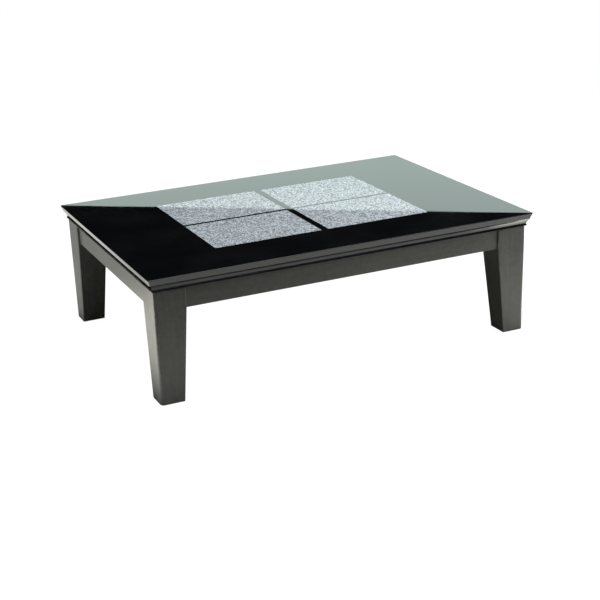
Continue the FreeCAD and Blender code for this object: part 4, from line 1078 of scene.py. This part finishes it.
def press_ridge(shape):
    """Presses a ridge that runs round the flat top of the heater's case."""
    top, away = max(v.co.z for v in shape.verts), RIDGE_WIDTH / 2
    for axis, half in ((0, RIDGE_X), (1, RIDGE_Y)):
        for where in (-half - away, -half + away, half - away, half + away):
            slice_top(shape, top, axis, where)
    ring = []
    for face in top_faces(shape, top):
        middle = face.calc_center_median()
        if abs(max(abs(middle.x) - RIDGE_X, abs(middle.y) - RIDGE_Y)) < away:
            ring.append(face)
    bmesh.ops.inset_region(
        shape, faces=ring, thickness=RIDGE_WIDTH * 0.32, depth=RIDGE_RISE, use_even_offset=True
    )
    print("faces in the ridge:", len(ring))


def smooth_copy(node, finish, ease=0.0, body="frame", ridge=False):
    """A merged, eased and smoothly shaded copy of a part of the solid model."""
    shape = new_shape()
    shape.from_mesh(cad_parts[node].data)
    bmesh.ops.remove_doubles(shape, verts=shape.verts, dist=1e-6)
    flat = [e for e in shape.edges if e.calc_face_angle(1.0) < 0.001]
    bmesh.ops.dissolve_limit(
        shape, angle_limit=0.002, verts=shape.verts, edges=flat, delimit=set()
    )
    if ease:
        soften(shape, [e for e in shape.edges if e.calc_face_angle(0.0) > FOLD], ease, 2)
    if ridge:
        press_ridge(shape)
    finish_part(node + "_smooth", shape, finish, node, body)


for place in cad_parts["underside_sheet"].material_slots:
    place.material = finishes["backing_paper"]
for node, finish, ease in (
    *(("corner_bracket_" + corner, "zinc_steel", 0.0003) for corner in CORNERS),
    ("heater_rail_left", "bare_wood", 0.0008),
    ("heater_rail_right", "bare_wood", 0.0008),
    ("leg_washers", "zinc_steel", 0.0002),
    ("tube_studs", "zinc_steel", 0.0),
    ("inlet_pins", "zinc_steel", 0.0004),
    ("top_pads", "pad_rubber", 0.0003),
    ("foot_pads", "felt", 0.0004),
    ("foot_inserts", "insert_brass", 0.0003),
    ("heater_reflector", "bright_sheet", 0.0),
    ("heater_tube", "quartz", 0.0),
    ("tube_holders", "white_ceramic", 0.0004),
    ("fan_motor", "motor_steel", 0.0008),
    ("guard_frame", "guard_plastic", 0.0006),
    ("power_inlet", "socket_plastic", 0.0004),
    ("terminal_block", "terminal_plastic", 0.0005),
    ("thermostat", "terminal_plastic", 0.0005),
    ("thermal_fuse", "terminal_plastic", 0.0005),
    ("lead_wires", "lead_sleeve", 0.0),
):
    smooth_copy(node, finish, ease)
smooth_copy("heater_case", "galvanised_sheet", 0.0003, ridge=True)
smooth_copy("fan_shaft", "zinc_steel", body="fan")
smooth_copy("fan_impeller", "fan_aluminium", 0.0003, body="fan")

# %% [markdown]
# ## The floor
# The floor is plain and pale. A mirror finish shows whatever lies round the table, and the
# picture tells what that was: the leaning edge of the board mirrors bright floor close by, and
# the upright lip below it mirrors something dark further off. So the floor carries painted light
# and painted shade that only the gloss sees: a painted glow next to the table, painted dark in a
# strip beside it and far in front, and a painted shadow under it. Each zone is a soft window over
# the distance past the ends of the table or over Y.

# %% Painted light and shade on the floor
pale = Finish("pale_floor")
pale.feed(Base_Color=(0.70, 0.70, 0.70, 1), Roughness=0.9, Specular_IOR_Level=0.1)
past = pale.add("VectorMath", {0: pale.place}, operation="ABSOLUTE").outputs[0]
past = pale.add("VectorMath", {0: past, 1: (0.60, 0.425, 0.0)}, operation="SUBTRACT").outputs[0]
past_x, past_y = pale.add("SeparateXYZ", {0: past}).outputs[:2]
y = pale.add("SeparateXYZ", {0: pale.place}).outputs["Y"]

# Painted shadow under the table and painted dark in a strip beside it and far in front.
painted_shade_under = pale.times(pale.window(pale.larger(past_x, past_y), 0.03, -0.06), 0.95)
beyond = pale.window(past_x, 0.32, 0.37)
spared = pale.larger(pale.window(past_x, 0.245, 0.225), beyond)
beside = pale.less(pale.window(y, 0.42, 0.50), spared)
painted_dark_zones = pale.larger(pale.larger(beside, pale.window(y, -0.85, -1.10)), painted_shade_under)

# A painted glow on the floor in front of the table and beside its ends.
in_front = pale.times(pale.window(y, -0.51, -0.62), 0.5)
close = pale.times(pale.window(past_x, 0.05, 0.12), pale.window(y, 0.50, 0.42))
further = pale.times(pale.times(beyond, pale.window(y, 1.0, 0.6)), 0.45)
ends = pale.times(pale.larger(close, further), pale.times(pale.window(y, -0.65, -0.40), 2.5))
ends = pale.plus(ends, pale.times(pale.window(past_x, -0.03, 0.02), 0.45))
more = pale.larger(in_front, ends)

# %% Floor
# The camera sees mostly an even white glow; the gloss sees the painted glow and painted dark zones.
rays = pale.add("LightPath").outputs
painted_glow = pale.add("Emission", {"Color": (1, 1, 0.86, 1), "Strength": more})
floor_with_painted_glow = pale.add("AddShader", {0: pale.shader.outputs[0], 1: painted_glow.outputs[0]})
dark = pale.add("Emission", {"Color": (1, 1, 1, 1), "Strength": 0.04})
white = pale.add("Emission", {"Color": (1, 1, 1, 1), "Strength": 1.2})
clear = pale.add("BsdfTransparent")
behind = pale.add("NewGeometry").outputs["Backfacing"]
in_gloss = pale.mix(rays["Is Glossy Ray"], pale.shader, pale.mix(painted_dark_zones, floor_with_painted_glow, dark))
from_above = pale.mix(pale.times(rays["Is Camera Ray"], 0.82), in_gloss, white)
pale.show(pale.mix(behind, from_above, clear))
plane = bmesh.new()
bmesh.ops.create_grid(plane, x_segments=1, y_segments=1, size=14)
as_object("floor", plane, pale.material)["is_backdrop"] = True

# %% [markdown]
# ## A board that only the gloss sees
# A pale upright board that glows stands behind the table on the right. It lights nothing and only
# the gloss sees it, so it is a painted reflection in the top. Its upper edge is what divides the
# mirror of the top from corner to corner; the room above it is dark in the gloss, so the near half
# of the top is deep black. Its glow fades towards the floor, because a low view would find it too
# bright.

# %% Board seen only in the gloss
AWAY, ACROSS, DISTANCE = Vector((0.578, 0.816, 0)), Vector((0.816, -0.578, 0)), 2.0
BOARD_HEIGHT = 0.37 + 0.2922 * DISTANCE
# The board's glow is a painted reflection: only glossy rays see it.
painted_glow = Finish("grey_board")
up = painted_glow.add("SeparateXYZ", {0: painted_glow.place}).outputs["Z"]
strength = painted_glow.between(painted_glow.window(up, 0.50, 0.74), 0.4, 1.5)
painted_glow.show(painted_glow.add("Emission", {"Color": (0.83, 1.0, 0.95, 1), "Strength": strength}))
screen = bmesh.new()
bmesh.ops.create_grid(screen, x_segments=1, y_segments=1, size=0.5)
bmesh.ops.scale(screen, vec=(3.4, BOARD_HEIGHT - 0.02, 1), verts=screen.verts)
for angle, axis in ((math.radians(90), "X"), (math.atan2(ACROSS.y, ACROSS.x), "Z")):
    turned = Matrix.Rotation(angle, 3, axis)
    bmesh.ops.rotate(screen, cent=(0, 0, 0), matrix=turned, verts=screen.verts)
middle = AWAY * DISTANCE - ACROSS * 0.5 + Vector((0, 0, BOARD_HEIGHT / 2 + 0.01))
bmesh.ops.translate(screen, vec=middle, verts=screen.verts)
grey_board = as_object("grey_board", screen, painted_glow.material)
grey_board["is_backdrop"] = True
for ray in ("camera", "diffuse", "transmission", "shadow"):
    setattr(grey_board, "visible_" + ray, False)
print("board in the gloss is", round(BOARD_HEIGHT, 3), "m high")

# %% [markdown]
# ## Lights and the room around
# Three broad lamps light the table as a small studio does: a large one overhead, one from the
# back left for the sides that look left, and one from the front right for the near faces. In a
# mirror a lamp is a white square, so the gloss sees only the large one overhead. The room is
# white to the camera and almost black to the gloss.

# %% Lights and the room around
def soft_light(name, place, target, size, power, glossy):
    """A broad square light that looks at a point."""
    data = bpy.data.lights.new(name, "AREA")
    data.shape, data.size, data.energy = "SQUARE", size, power
    lamp = bpy.data.objects.new(name, data)
    bpy.context.scene.collection.objects.link(lamp)
    lamp.location = place
    lamp.rotation_mode = "QUATERNION"
    lamp.rotation_quaternion = (Vector(target) - Vector(place)).to_track_quat("-Z", "Y")
    lamp.visible_glossy = glossy
    lamp.visible_camera = False


soft_light("overhead", (0.45, -0.9, 2.5), (0.1, -0.2, 0), 2.3, 80, True)
soft_light("back_left", (-2.3, 2.1, 1.3), (-0.6, 0.0, 0.3), 1.2, 55, False)
soft_light("front_right", (1.8, -1.4, 0.7), (0.6, -0.4, 0.2), 0.7, 42, False)
bpy.context.scene.world = bpy.data.worlds.new("room")
bpy.context.scene.world.use_nodes = True
room = Recipe(bpy.context.scene.world.node_tree)
rays = room.add("LightPath").outputs
strength = room.larger(room.between(rays["Is Glossy Ray"], 0.12, 0.005), rays["Is Camera Ray"])
background = {"Color": (1, 1, 1, 1), "Strength": strength}
room.fill(room.tree.nodes["Background"], background)
bpy.context.scene.view_settings.view_transform = "Standard"

# %% [markdown]
# ## Last check
# The dressed table must fill the same box as the solid model.

# %% Compare the boxes and finish
seen_box = [list(corner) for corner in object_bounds()]
worst = max(abs(a - b) for old, new in zip(cad_box, seen_box) for a, b in zip(old, new))
print("the two boxes differ by at most", round(worst * 1000, 3), "mm")
